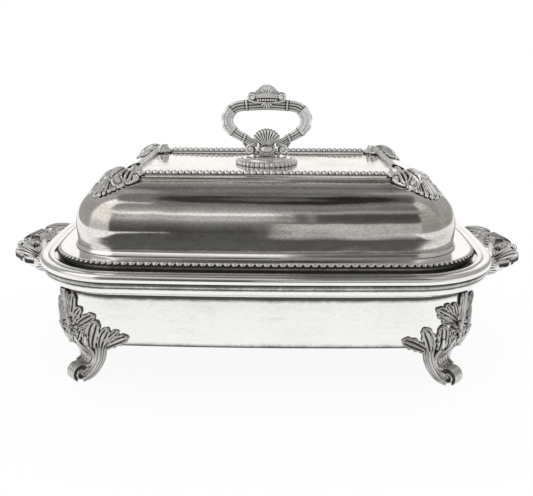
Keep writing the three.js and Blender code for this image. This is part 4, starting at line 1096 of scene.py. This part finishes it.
def makeMounts(s):
    batch = newBatch()
    place = onShoulder
    addStrand(batch, place, [(-10, 0), (10, 0), (27.5, 0)], s["ground"], sink=0.1, sides=17, reed=0.4)
    addPetal(batch, place, (2, 0), (17.5, 0), 3.4, 3.2, lift=0.3, dark=0.7)
    addPetal(batch, place, (13.5, 0), (27.2, 0), 1.6, 2.6)
    for side in (-1, 1):
        for base, tip, wide, high, bend, lift in s["petals"]:
            base, tip = mirrorAcross((base, tip), side)
            addPetal(batch, place, base, tip, wide, high, bend=-side * bend, lift=lift, dark=1.1)
        addDisc(batch, place, *mirrorAcross([s["volute"]], side), volute(4.3, 3.2, 1.5, side), 0.3)
        for tail, eye, radius, start, turns, thick, high in s["scrolls"]:
            *tail, eye = mirrorAcross((*tail, eye), side)
            addScroll(batch, place, tail, eye, radius, side * start, side * turns, thick, high)
        _, spots, _ = evenPath(mirrorAcross(s["edge"], side), 13)
        addBeads(batch, place, spots[:-1], 1.25, 0.6)
        addBeads(batch, place, mirrorAcross(s["berries"], side), 0.85, 1.9)

    def leaning(p, q, h):
        # rises towards the middle of the cover, so that the ring faces outward
        return place(p, q, np.where(h > 0, h + s["ringLean"] * np.clip(1 - p, 0, 12), h))

    addDisc(batch, leaning, (s["ring"], 0), ringed(*s["ringShape"]), 0.3, rings=24, sides=48)
    addBeads(batch, place, [(-10.2, 0), (1.6, 0)], 1.3, 1.2)
    finishCopies("shoulderMount", batch, silver["cast"], "cover", "cover_mount", corners)


makeMounts(mount)
print("cover mounts made")

# Feet and leaf sprays of the stand

foot = {
    "height": 32.1, "toe": (48.8, 6.1), "toeRadius": 5.7, "toeHalf": 5.4,
    # the leg by distance out along the diagonal, height, half depth and half width
    "leg": [
        (42.5, 38.5, 9.0, 15.4), (39.8, 31, 8.4, 14.6), (37.2, 25, 6.4, 12.4), (36.2, 19, 5.4, 10.4),
        (37.8, 12.8, 4.9, 9.0), (42.0, 7.0, 4.8, 7.8), (47.5, 4.2, 4.0, 6.4),
    ],
    # strands by distance out, across and up, with half width and half depth; the first three lie on the face
    "onFace": 3,
    "strands": [
        ([(50.5, 17.6, 39), (49.5, 15.8, 34), (46.6, 13.0, 28.5), (43.4, 10.6, 23.5), (41.4, 8.8, 18.5),
          (42.0, 7.4, 13.0), (46.5, 6.2, 11.6)], 1.6, 1.6),
        ([(53.2, 8.0, 37), (51.0, 8.0, 31.5), (46.8, 6.6, 26), (42.8, 5.2, 21), (41.2, 4.6, 17),
          (42.6, 4.2, 12.6), (47, 4.0, 11.4)], 1.0, 1.2),
        ([(53.4, 3.0, 36), (51.0, 2.8, 31), (46.8, 2.2, 26), (42.8, 1.8, 21), (41.2, 1.6, 17),
          (42.6, 1.5, 12.6), (47, 1.4, 11.5)], 0.9, 1.1),
        ([(44.5, 24.5, 37), (42.8, 21.0, 32.5), (40.2, 15.6, 27.5), (38.4, 12.0, 22), (38.2, 10.2, 16),
          (40.6, 8.8, 10.5), (44.5, 7.4, 5.4), (49.5, 6.2, 2.8)], 1.4, 1.2),
        ([(40.6, 26.0, 36), (37.0, 17.0, 31), (34.6, 13.0, 26.0), (33.8, 10.6, 20), (34.6, 9.2, 13.5),
          (38.0, 8.0, 7.0), (42.6, 7.0, 2.6), (49.0, 6.2, 1.0)], 1.2, 1.1),
        ([(39.0, 19.5, 32), (37.0, 13.2, 25), (36.2, 10.8, 18), (38.2, 9.2, 11), (42.6, 7.6, 4.8),
          (48, 6.4, 2.0)], 0.7, 0.9),
        ([(46.8, 20.0, 36.5), (44.6, 16.6, 31.5), (41.8, 13.2, 26), (40.4, 10.6, 20), (41.0, 9.0, 14),
          (44.5, 7.4, 8.5)], 0.8, 1.0),
    ],
}
outward = (diagonal, diagonal, 0)


def fromCorner(reach, across, z):
    # out along the corner's diagonal, across it and up
    places = cornerX + (reach - across) * diagonal, cornerY + (reach + across) * diagonal, z
    return np.stack(np.broadcast_arrays(*places), -1)


def makeFeet(s):
    leg = np.array(s["leg"], float)
    path = fromCorner(leg[:, 0], 0 * leg[:, 0], leg[:, 1])
    sizes = np.stack([np.linspace(0, 1, len(leg)), leg[:, 2], leg[:, 3]], -1)
    across = np.array([-outward[0], outward[1], 0])
    tube = makeTube(path, across, sizes, 120)

    def section(u, angle):
        # the outer face is hollow and fluted between an edge rib on either side; ribs follow the flanks
        x = np.sign(np.cos(angle)) * np.abs(np.cos(angle)) ** 0.7
        w = np.sign(np.sin(angle)) * np.abs(np.sin(angle)) ** 0.85
        front = x > 0
        bed = np.abs(w) < 0.7
        flute = np.abs(np.sin(math.pi * 2.86 * w)) ** 0.45
        rise = np.where(front, 0.98 - np.where(bed, 0.2 - 0.17 * flute, 0), 1.0)
        line = 0.5 + 0.5 * np.cos(tau * (x * 1.6))
        # painted shade in the hollows of the flutes and beside the edge ribs, and in lines along the flanks;
        # oxide in the hollows too
        recess = front * (0.9 * np.exp(-(((np.abs(w) - 0.68) / 0.06) ** 2)) + bed * 1.2 * (1 - flute))
        recess = recess + (~front) * 0.5 * (1 - line)
        return x * rise, w * (1 - 0.05 * line), recess

    batch = newBatch()
    addTube(batch, tube, section, 90)
    grid = batch["points"][0]
    grid[:, 2] = np.clip(grid[:, 2], 0, s["height"])
    toeOut, toeZ = s["toe"]

    def onRoll(p, q, h):
        # q runs round the toe's roll and p across it
        reach, a = s["toeRadius"] + h, q / s["toeRadius"]
        return fromCorner(toeOut + reach * np.cos(a), p, np.maximum(toeZ + reach * np.sin(a), 0.0))

    for side in (-1, 1):
        def onFlank(p, q, h, side=side):
            return fromCorner(toeOut + p, side * h, np.maximum(toeZ + q, 0.0))

        coil = volute(s["toeRadius"] - 0.2, s["toeHalf"] + 1.4, 1.6, -1)
        addDisc(batch, onFlank, (0, 0), coil, 0.0, sides=48)
        for out in (side * 1.25, side * 3.6):
            turns = [(out, s["toeRadius"] * a) for a in (2.5, 1.6, 0.8, 0.0, -0.9)]
            sizes = [[0, 0.6, 0.5, 0], [0.4, 1.15, 1.1, 0], [1, 0.8, 0.7, 0]]
            addStrand(batch, onRoll, turns, sizes, sink=0.8)
        for k, (points, wide, deep) in enumerate(s["strands"]):
            line = fromCorner(*(np.array(points) * [1, side, 1]).T)
            up = outward if k < s["onFace"] else side * across
            root, tip = [0, wide * 0.5, deep * 0.6], [1, wide * 0.6, deep * 0.7]
            addBar(batch, line, up, [root, [0.25, wide, deep], [0.75, wide, deep], tip], steps=56)
    for group in batch["points"]:
        group[:, 2] = np.maximum(group[:, 2], 0)
    finishCopies("scrollFoot", batch, silver["leg"], "stand", "foot", corners)


def onPanCorner(t, z, h):
    # t runs along the pan's wall from the corner's 45 degree line, z is the height, h stands off the wall
    t, z, h = np.broadcast_arrays(t, z, h)
    wallRadius = cornerRadius - pan["rimReach"]
    toSide, toEnd = sideAngle - math.pi / 4, math.pi / 4 - endAngle
    turn = t / wallRadius
    past = [t - toSide * wallRadius, t + toEnd * wallRadius]
    beyond = np.select([turn > toSide, turn < -toEnd], past, 0)
    along = endRun + toEnd * cornerRadius + np.clip(turn, -toEnd, toSide) * cornerRadius + beyond
    x, y, outX, outY = onQuarter(along, pan["rimReach"])
    return np.stack([x + outX * h, y + outY * h, z], -1)


spray = {
    # petals by hand: base and tip (along the wall from the corner, height), half width, height, bend, lift
    "right": [
        ((2.5, 43), (1.5, 67.5), 2.6, 3.2, 1.0, 2.6), ((-1.5, 44), (-2.5, 68.2), 2.3, 3.0, -1.0, 3.2),
        ((4.2, 47.5), (23.6, 60.4), 3.0, 3.2, 0.8, 1.2), ((7, 48.2), (18.2, 50.2), 2.5, 2.6, 0.5, 1.0),
        ((9.5, 51), (22, 55.2), 2.5, 2.8, 0.5, 1.0), ((9.5, 52), (16.8, 62.2), 2.4, 2.8, 1.0, 1.2),
        ((5.6, 51), (10, 62), 2.5, 2.8, 0.8, 1.4), ((11, 31), (11.2, 43.2), 2.8, 3.2, 0.6, 1.0),
        ((17.6, 30.5), (17.4, 48.2), 4.0, 3.8, 1.2, 1.4), ((24.6, 31), (31, 48), 3.8, 3.6, 1.2, 1.2),
        ((22.5, 31.5), (26.2, 44), 2.0, 2.6, 0, 0.8), ((29, 32), (44.6, 39.6), 3.5, 3.4, 0.8, 0.8),
        ((4.6, 29.6), (5.6, 38.6), 2.6, 3.2, 0, 0.6),
    ],
    "left": [
        ((1.5, 44), (8.6, 66.6), 3.6, 3.0, 0.8, 2.0), ((3, 43.5), (14.2, 57.5), 3.0, 3.0, 0.9, 1.4),
        ((-2.5, 44), (-1.5, 66.8), 3.0, 2.8, -0.6, 2.8), ((2.5, 43), (12, 50.6), 2.8, 2.8, 0.6, 1.0),
        ((9, 43), (24.8, 54), 3.2, 3.0, 0.6, 1.0), ((10.5, 41.5), (22, 48.4), 2.2, 2.6, -0.6, 0.8),
        ((6.5, 31), (12.8, 43.4), 2.6, 3.2, 0.8, 0.8), ((19.6, 30.5), (26, 50.6), 4.2, 3.8, 1.4, 1.4),
        ((15, 30), (17.4, 43.6), 2.6, 3.2, 0.6, 0.8), ((26.5, 31), (33.4, 46.2), 3.2, 3.4, 1.0, 1.0),
        ((29, 33.2), (40, 44.6), 2.6, 3.0, 0.6, 0.8), ((30, 32.4), (46.4, 40.2), 3.2, 3.4, 0.8, 0.8),
        ((2.6, 29.6), (3.6, 38.6), 2.6, 3.2, 0, 0.6),
    ],
    # the table's sizes are multiplied by these; petals whose tip is above lineZ are darker between their ribs
    "wider": 1.35, "flatter": 0.62, "lower": 0.3, "lineZ": 58,
    "style": {"root": 0.6, "fat": 0.6, "lobes": 0.2, "point": 0.7, "edge": 3, "steps": 36},
    "flower": (6.0, 42.8), "berries": ((1.9, 40.2), (9.8, 39.4), (3.0, 46.6)),
    # stalk up the corner: its points, then share, half width, height and lift
    "stalk": ((0, 29.6), (0.6, 44), (-0.4, 56), (0.4, 68)),
    "stalkSizes": ((0, 1.2, 2.4, 0.2), (0.5, 1.7, 2.8, 0.6), (1, 1.2, 2.4, 1.6)),
}


def makeSpray(hand, s):
    batch = newBatch()
    place = onPanCorner
    for side in (-1, 1):
        for (baseT, baseZ), (tipT, tipZ), wide, high, bend, lift in s[hand]:
            base, tip = (side * baseT, baseZ), (side * tipT, tipZ)
            wide, high, lift = s["wider"] * wide, s["flatter"] * high, s["lower"] * lift
            dark = 1.2 if tipZ > s["lineZ"] else 0.85
            addPetal(batch, place, base, tip, wide, high, side * bend, lift, dark=dark, **s["style"])
        flowerT, flowerZ = s["flower"]
        addDisc(batch, place, (side * flowerT, flowerZ), rosette(4.4, 3.2, 5), 0.4)
        addBeads(batch, place, [(side * t, z) for t, z in s["berries"]], 1.7, 2.0)
    addStrand(batch, place, s["stalk"], s["stalkSizes"], reed=0.3)
    places = [corner for corner in corners if corner[0].endswith(hand)]
    finishCopies("leafSpray", batch, silver["spray"], "stand", "corner_spray", places)


makeFeet(foot)
makeSpray("right", spray)
makeSpray("left", spray)
print("feet and sprays made")

# End handles of the stand

bracket = {
    "reach": 46.5, "span": 84.0, "rootZ": 60.0, "rise": 8.0, "thick": 8.0, "high": 11.5, "gap": 0.3,
    "shares": [[0, 1, 0], [0.2, 1.0, 0.6], [0.42, 0.97, 1.0], [0.66, 0.8, 1.25], [0.86, 0.46, 1.1],
               [1, 0, 0.9]],
    "sizes": [[0, 1.7, 1.15], [0.12, 1.1, 0.85], [0.3, 1.3, 0.95], [0.5, 1.4, 1.1], [0.7, 1.05, 1.05],
              [1, 0.95, 1.05]],
    # on top: tail points, eye, radius, start and turns of each scroll
    "scrolls": [
        ([(159, 40), (163, 44)], (165.5, 39.0), 4.4, 0.25, -1.4),
        ([(168, 44), (175, 41)], (177.5, 32.5), 5.2, 0.25, -1.4),
        ([(182, 33), (188.5, 25)], (185.0, 19.5), 4.8, 0.0, -1.4),
        ([(190, 14), (192.6, 6)], (188.8, 4.5), 2.6, 0.0, -1.2),
    ],
    "cups": [((170.6, 35.0), 3.6, 2.4), ((176.4, 23.0), 6.4, 3.4), ((183.6, 10.0), 4.4, 2.8)],
}


def endWall(y, inset):
    return endCentreX + math.sqrt((endRadius - inset) ** 2 - y**2)


def makeEndHandles(s):
    wall = pan["rimReach"]
    start = endWall(s["span"] / 2, wall) + s["gap"]
    reach = endWall(0, wall) + s["reach"] - start
    half = [
        [start + out * reach, side * s["span"] / 2, s["rootZ"] + up * s["rise"]]
        for out, side, up in s["shares"]
    ]
    path = half + [[x, -y, z] for x, y, z in half[-2::-1]]
    near = [[u / 2, t * s["thick"] / 2, h * s["high"] / 2] for u, t, h in s["sizes"]]
    sizes = near + [[1 - u, t, h] for u, t, h in near[-2::-1]]
    tube = makeTube(path, (0, 0, 1), sizes, 220)
    total = tube["run"][-1]

    def section(u, angle):
        # long reeds run round the outer face and turn into winding ribs on top, deep between them
        near = np.minimum(u, 1 - u)
        top = np.clip(0.5 + np.sin(angle), 0, 1)
        wave = np.abs(np.cos(3.5 * angle + 22 * near * top)) ** 0.5
        knot = np.exp(-(((near - 0.12) / 0.012) ** 2)) + np.exp(-(((near - 0.33) / 0.012) ** 2))
        swell = 0.93 - 0.14 * (1 - wave) + 0.06 * knot
        # painted shade between the reeds; the upper side is darker all along
        return np.cos(angle) * swell, np.sin(angle) * swell, 1.5 * (1 - wave) + 0.3 * top

    batch = newBatch()
    addTube(batch, tube, section, 80)
    onGrip = onTube(tube)
    for end in (-1, 1):
        def along(share, end=end):
            return total * (0.5 + end * (0.5 - share))

        def onSkin(p, q, h):
            return onGrip(p, q / 5.0, h)

        def onTop(p, q, h, end=end):
            return np.stack(np.broadcast_arrays(p, end * q, 68.0 + h), -1)

        for angle in (0.6, 1.6, 2.6, 3.6, 4.6):
            addPetal(batch, onSkin, (along(0.015), angle * 5), (along(0.15), angle * 5 + 2), 2.5, 1.2,
                     bend=end, lift=0.4)
        for angle in (0.1, 1.1, 2.1, 5.4):
            addPetal(batch, onSkin, (along(0.16), angle * 5), (along(0.31), angle * 5 + 2), 2.5, 1.3,
                     bend=end, lift=0.6)
            addPetal(batch, onSkin, (along(0.47), angle * 5), (along(0.33), angle * 5), 2.2, 1.2, lift=0.5)
        for tail, centre, radius, begin, turns in s["scrolls"]:
            addScroll(batch, onTop, tail, centre, radius, begin, turns, 1.15, 2.8, lift=2.4)
        for centre, wide, high in s["cups"]:
            def leaning(p, q, h, far=centre[1] + wide, onTop=onTop):
                return onTop(p, q, np.where(h > 0, h + 0.4 * np.clip(far - q, 0, 12) - 1.5, h))

            addDisc(batch, leaning, centre, cup(wide, wide * 0.9, high + 2.5, 11), 5.0, rings=20, sides=48)
    # nothing reaches into the pan: its bowed end wall, drawn as a parabola, limits every point
    middle, root = endWall(0, wall), endWall(s["span"] / 2, wall)
    for group in batch["points"]:
        inside = middle - (middle - root) * (group[:, 1] / (s["span"] / 2)) ** 2 + s["gap"]
        group[:, 0] = np.maximum(group[:, 0], np.minimum(inside, start + 1.0))
    finishCopies("endGrip", batch, silver["cast"], "stand", "end_handle", ends)


def makeEndShells(s):
    batch = newBatch()
    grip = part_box("end_shell_right")[1].x / metre
    z = s["rootZ"] + s["rise"] - 1.0

    def inside(p, q, h):
        # a hollow shell: its edges come in towards the pan, its top leans out over the grip
        return np.stack(np.broadcast_arrays(grip - 3.4 + h * 0.7 - 0.035 * p**2 + 0.15 * q, p, z + q), -1)

    addFan(batch, inside, (0, -0.5), 9.2, 1.4, 1.45, 9, 2.4, 1.1, sink=0.6, scallop=0.1)
    edge = [(9 * math.sin(a), -0.5 + 9 * math.cos(a)) for a in np.linspace(-1.45, 1.45, 9)]
    addStrand(batch, inside, edge, [[0, 0.6, 0.8, 0.6], [1, 0.6, 0.8, 0.6]], sink=1.2)
    addDisc(batch, inside, (0, 0.4), button(1.8, 1.6, 3.6), 0.4)
    finishCopies("gripShell", batch, silver["cast"], "stand", "end_shell", ends)


makeEndHandles(bracket)
makeEndShells(bracket)
print("end handles made")

castNames = ("foot", "corner", "end", "cover_mount", "handle")
for name, node in nodes.items():
    node.data.materials.clear()
    node.data.materials.append(silver["cast"] if name.startswith(castNames) else silver["inner"])

# Floor, world and lamp

studio = {
    "floorRadius": 1.6, "floorColor": (0.97, 0.97, 0.97), "worldLevel": 0.95,
    # as the metal sees it: half sizes of the white paper under the warmer and how softly it ends, the dark
    # table beyond it, and where that is lighter, far in front on the right and along both sides
    "paper": (0.40, 0.318, 0.01), "table": 0.065, "tableRight": 0.48, "tableFar": (0.42, 0.66),
    "strips": (0.34, 0.44),
    # half sizes of the shade below the warmer, where it fades and how deep it is
    "underneath": ((0.16, 0.125), 0.7, 1.05, 0.72), "glossyShare": 0.97,
    # as the camera sees it: where the floor's shading ends and how much of it shows
    "shadowReach": (0.2, 0.42), "shadow": 0.07,
    # the room's brightness by elevation in degrees, as the metal sees it
    "frontLeft": (
        (-90, 0.12), (-16, 0.12), (-8, 0.07), (-2, 0.07), (6, 0.1), (13, 0.14), (20, 0.2), (26, 0.34),
        (30, 0.52), (37, 0.48), (41, 0.56), (43.5, 1.0), (47, 1.0), (50, 0.6), (54, 0.42), (60, 0.3),
        (66, 0.26), (70, 0.2), (75, 0.2), (78, 0.04), (83, 0.04), (86, 0.14), (90, 0.14),
    ),
    "frontRight": (
        (-90, 0.3), (-16, 0.3), (-9, 0.4), (-2, 0.49), (4, 0.52), (13, 0.54), (20, 0.5), (22.5, 0.14),
        (28, 0.1), (40, 0.08), (46, 0.1), (50, 0.34), (54, 0.36), (57, 0.2), (62, 0.2), (68, 0.23),
        (74, 0.16), (77, 0.02), (84, 0.02), (86, 0.12), (90, 0.14),
    ),
    "back": (
        (-90, 1.0), (0, 1.1), (22, 1.05), (27, 0.72), (31, 0.5), (37, 0.34), (43, 0.24), (49, 0.22),
        (52, 0.12), (56, 0.19), (63, 0.22), (68, 0.19), (71, 0.12), (74, 0.18), (79, 0.17), (83, 0.05),
        (86, 0.12), (90, 0.14),
    ),
    # the two soft boxes at the sides, also by elevation
    "boxLeft": ((-90, 1.1), (-12, 0.8), (-4, 0.65), (4, 0.62), (14, 0.85), (24, 1.15), (90, 1.15)),
    "boxRight": ((-90, 0.9), (-30, 0.75), (-14, 0.36), (10, 0.36), (30, 0.44), (46, 0.55), (58, 0.75),
                 (90, 0.8)),
    # where the left and the right front meet, in radians: low down, high up, and the heights between the two
    "middleLow": (-0.012, 0.008), "middleHigh": (0.03, 0.08), "middleHeight": (0.36, 0.44),
    # radians away from the front where a soft box begins and ends, its top, and the cut off its front edge
    "softbox": (0.56, 0.7), "boxEnd": (1.38, 1.6), "boxTop": (0.925, 0.95),
    "boxCut": ((0.6, 0.8), (0.78, 0.98)), "dimSide": 0.4, "backdrop": (2.55, 2.75),
    "lampSize": 0.9, "lampPower": 2.2, "lampPlace": (-0.25, -0.2, 1.5), "lampTurn": (-0.13, -0.16, 0),
}


def makeFloor(s):
    mesh = bpy.data.meshes.new("floor")
    a = np.arange(96) * tau / 96
    ring = np.stack([np.cos(a), np.sin(a), 0 * a], -1) * s["floorRadius"]
    mesh.from_pydata(ring.tolist(), [], [list(range(96))])
    floor = bpy.data.objects.new("floor", mesh)
    bpy.context.scene.collection.objects.link(floor)
    material = bpy.data.materials.new("floorPaper")
    material.use_nodes = True
    mesh.materials.append(material)
    tree = material.node_tree
    tree.nodes.clear()
    path = addNode(tree, "LightPath").outputs
    x, y, _ = addNode(tree, "SeparateXYZ", {0: addNode(tree, "TexCoord").outputs["Object"]}).outputs

    def sums(operation, *values):
        return calc(tree, operation, *values)

    def oblong(halfX, halfY):
        # fourth root of (x / halfX)^4 + (y / halfY)^4, which is 1 on the edge of an oblong with round corners
        shares = (sums("DIVIDE", x, halfX), sums("DIVIDE", y, halfY))
        return sums("POWER", sums("ADD", *(sums("POWER", sums("ABSOLUTE", k), 4.0) for k in shares)), 0.25)

    farRight = sums("MULTIPLY", spread(tree, sums("MULTIPLY", y, -1.0), *s["tableFar"]),
                    spread(tree, x, -0.02, 0.02))
    table = sums("MULTIPLY_ADD", farRight, s["tableRight"] - s["table"], s["table"])
    table = sums("MAXIMUM", table, spread(tree, sums("ABSOLUTE", x), *s["strips"]))
    halfX, halfY, soft = s["paper"]
    inMetal = sums("MAXIMUM", spread(tree, oblong(halfX, halfY), 1.0, 1.0 + soft / halfY, 1.0, 0.0), table)
    below, fadeIn, fadeOut, depth = s["underneath"]
    inMetal = sums("MULTIPLY", inMetal, spread(tree, oblong(*below), fadeIn, fadeOut, 1 - depth, 1.0))
    level = sums("SUBTRACT", 1.0, sums("MULTIPLY", path["Is Glossy Ray"], sums("SUBTRACT", 1.0, inMetal)))
    distance = sums("SQRT", sums("ADD", sums("MULTIPLY", x, x), sums("MULTIPLY", y, y)))
    plain = spread(tree, distance, *s["shadowReach"], 1 - s["shadow"], 1.0)
    share = sums("MULTIPLY", sums("MAXIMUM", path["Is Camera Ray"], path["Is Transmission Ray"]), plain)
    share = sums("MAXIMUM", share, sums("MULTIPLY", path["Is Glossy Ray"], s["glossyShare"]))
    paper = addNode(tree, "BsdfDiffuse", {"Color": s["floorColor"]}).outputs[0]
    glow = addNode(tree, "Emission", {"Strength": level}).outputs[0]
    addNode(tree, "OutputMaterial", {0: addNode(tree, "MixShader", {0: share, 1: paper, 2: glow}).outputs[0]})


def warmGrey(level):
    return (level, level * 0.985, level * 0.965, 1)


def rampOf(tree, value, stops):
    node = addNode(tree, "ValToRGB", {0: value})
    ramp = node.color_ramp
    while len(ramp.elements) < len(stops):
        ramp.elements.new(0.5)
    for element, (degrees, level) in zip(ramp.elements, stops):
        element.position = (degrees + 90) / 180
        element.color = warmGrey(level)
    return node.outputs[0]


def makeWorld(s):
    world = bpy.data.worlds.new("studio")
    bpy.context.scene.world = world
    world.use_nodes = True
    tree = world.node_tree
    tree.nodes.clear()
    path = addNode(tree, "LightPath").outputs
    x, y, z = addNode(tree, "SeparateXYZ", {0: addNode(tree, "TexCoord").outputs["Generated"]}).outputs

    def sums(operation, *values):
        return calc(tree, operation, *values)

    height = sums("ADD", sums("DIVIDE", sums("ARCSINE", z), math.pi), 0.5)
    azimuth = sums("ARCTAN2", x, sums("MULTIPLY", y, -1.0))  # 0 in front, + to the right
    away = sums("ABSOLUTE", azimuth)
    rooms = ("frontLeft", "frontRight", "back", "boxLeft", "boxRight")
    frontLeft, frontRight, back, boxLeft, boxRight = (rampOf(tree, height, s[name]) for name in rooms)
    upper = spread(tree, z, *s["middleHeight"])
    low = sums("MULTIPLY", spread(tree, azimuth, *s["middleLow"]), sums("SUBTRACT", 1.0, upper))
    high = sums("MULTIPLY", spread(tree, azimuth, *s["middleHigh"]), upper)
    room = mixColor(tree, sums("ADD", low, high), frontLeft, frontRight)
    # the sides: a dim wall behind two soft boxes, neither of which reaches the top
    cutZ, cutAway = s["boxCut"]
    cut = sums("MULTIPLY", spread(tree, z, *cutZ), spread(tree, away, *cutAway, 1.0, 0.0))
    boxHeight = sums("SUBTRACT", 1.0, sums("MAXIMUM", spread(tree, z, *s["boxTop"]), cut))
    beyond = spread(tree, away, *s["boxEnd"])
    room = mixColor(tree, sums("MULTIPLY", beyond, boxHeight), room, warmGrey(s["dimSide"]))
    box = sums("MULTIPLY", sums("SUBTRACT", spread(tree, away, *s["softbox"]), beyond), boxHeight)
    room = mixColor(tree, box, room, mixColor(tree, spread(tree, x, -0.02, 0.02), boxLeft, boxRight))
    room = mixColor(tree, spread(tree, away, *s["backdrop"]), room, back)
    white = (1, 1, 1, 1)
    plain = addNode(tree, "Background", {0: white, 1: s["worldLevel"]}).outputs[0]
    mirror = addNode(tree, "Background", {0: room}).outputs[0]
    seen = addNode(tree, "Background", {0: white}).outputs[0]
    light = addNode(tree, "MixShader", {0: path["Is Glossy Ray"], 1: plain, 2: mirror}).outputs[0]
    direct = sums("MAXIMUM", path["Is Camera Ray"], path["Is Transmission Ray"])
    addNode(tree, "OutputWorld", {0: addNode(tree, "MixShader", {0: direct, 1: light, 2: seen}).outputs[0]})


def makeLamp(s):
    # a soft lamp overhead, only as strong as it takes to ground the feet
    data = bpy.data.lights.new("overhead", "AREA")
    data.shape = "DISK"
    data.size, data.energy = s["lampSize"], s["lampPower"]
    lamp = bpy.data.objects.new("overhead", data)
    lamp.location, lamp.rotation_euler = s["lampPlace"], s["lampTurn"]
    lamp.visible_glossy = False
    bpy.context.scene.collection.objects.link(lamp)


makeFloor(studio)
makeWorld(studio)
makeLamp(studio)
bpy.context.scene.view_settings.view_transform = "Standard"
print("studio made")
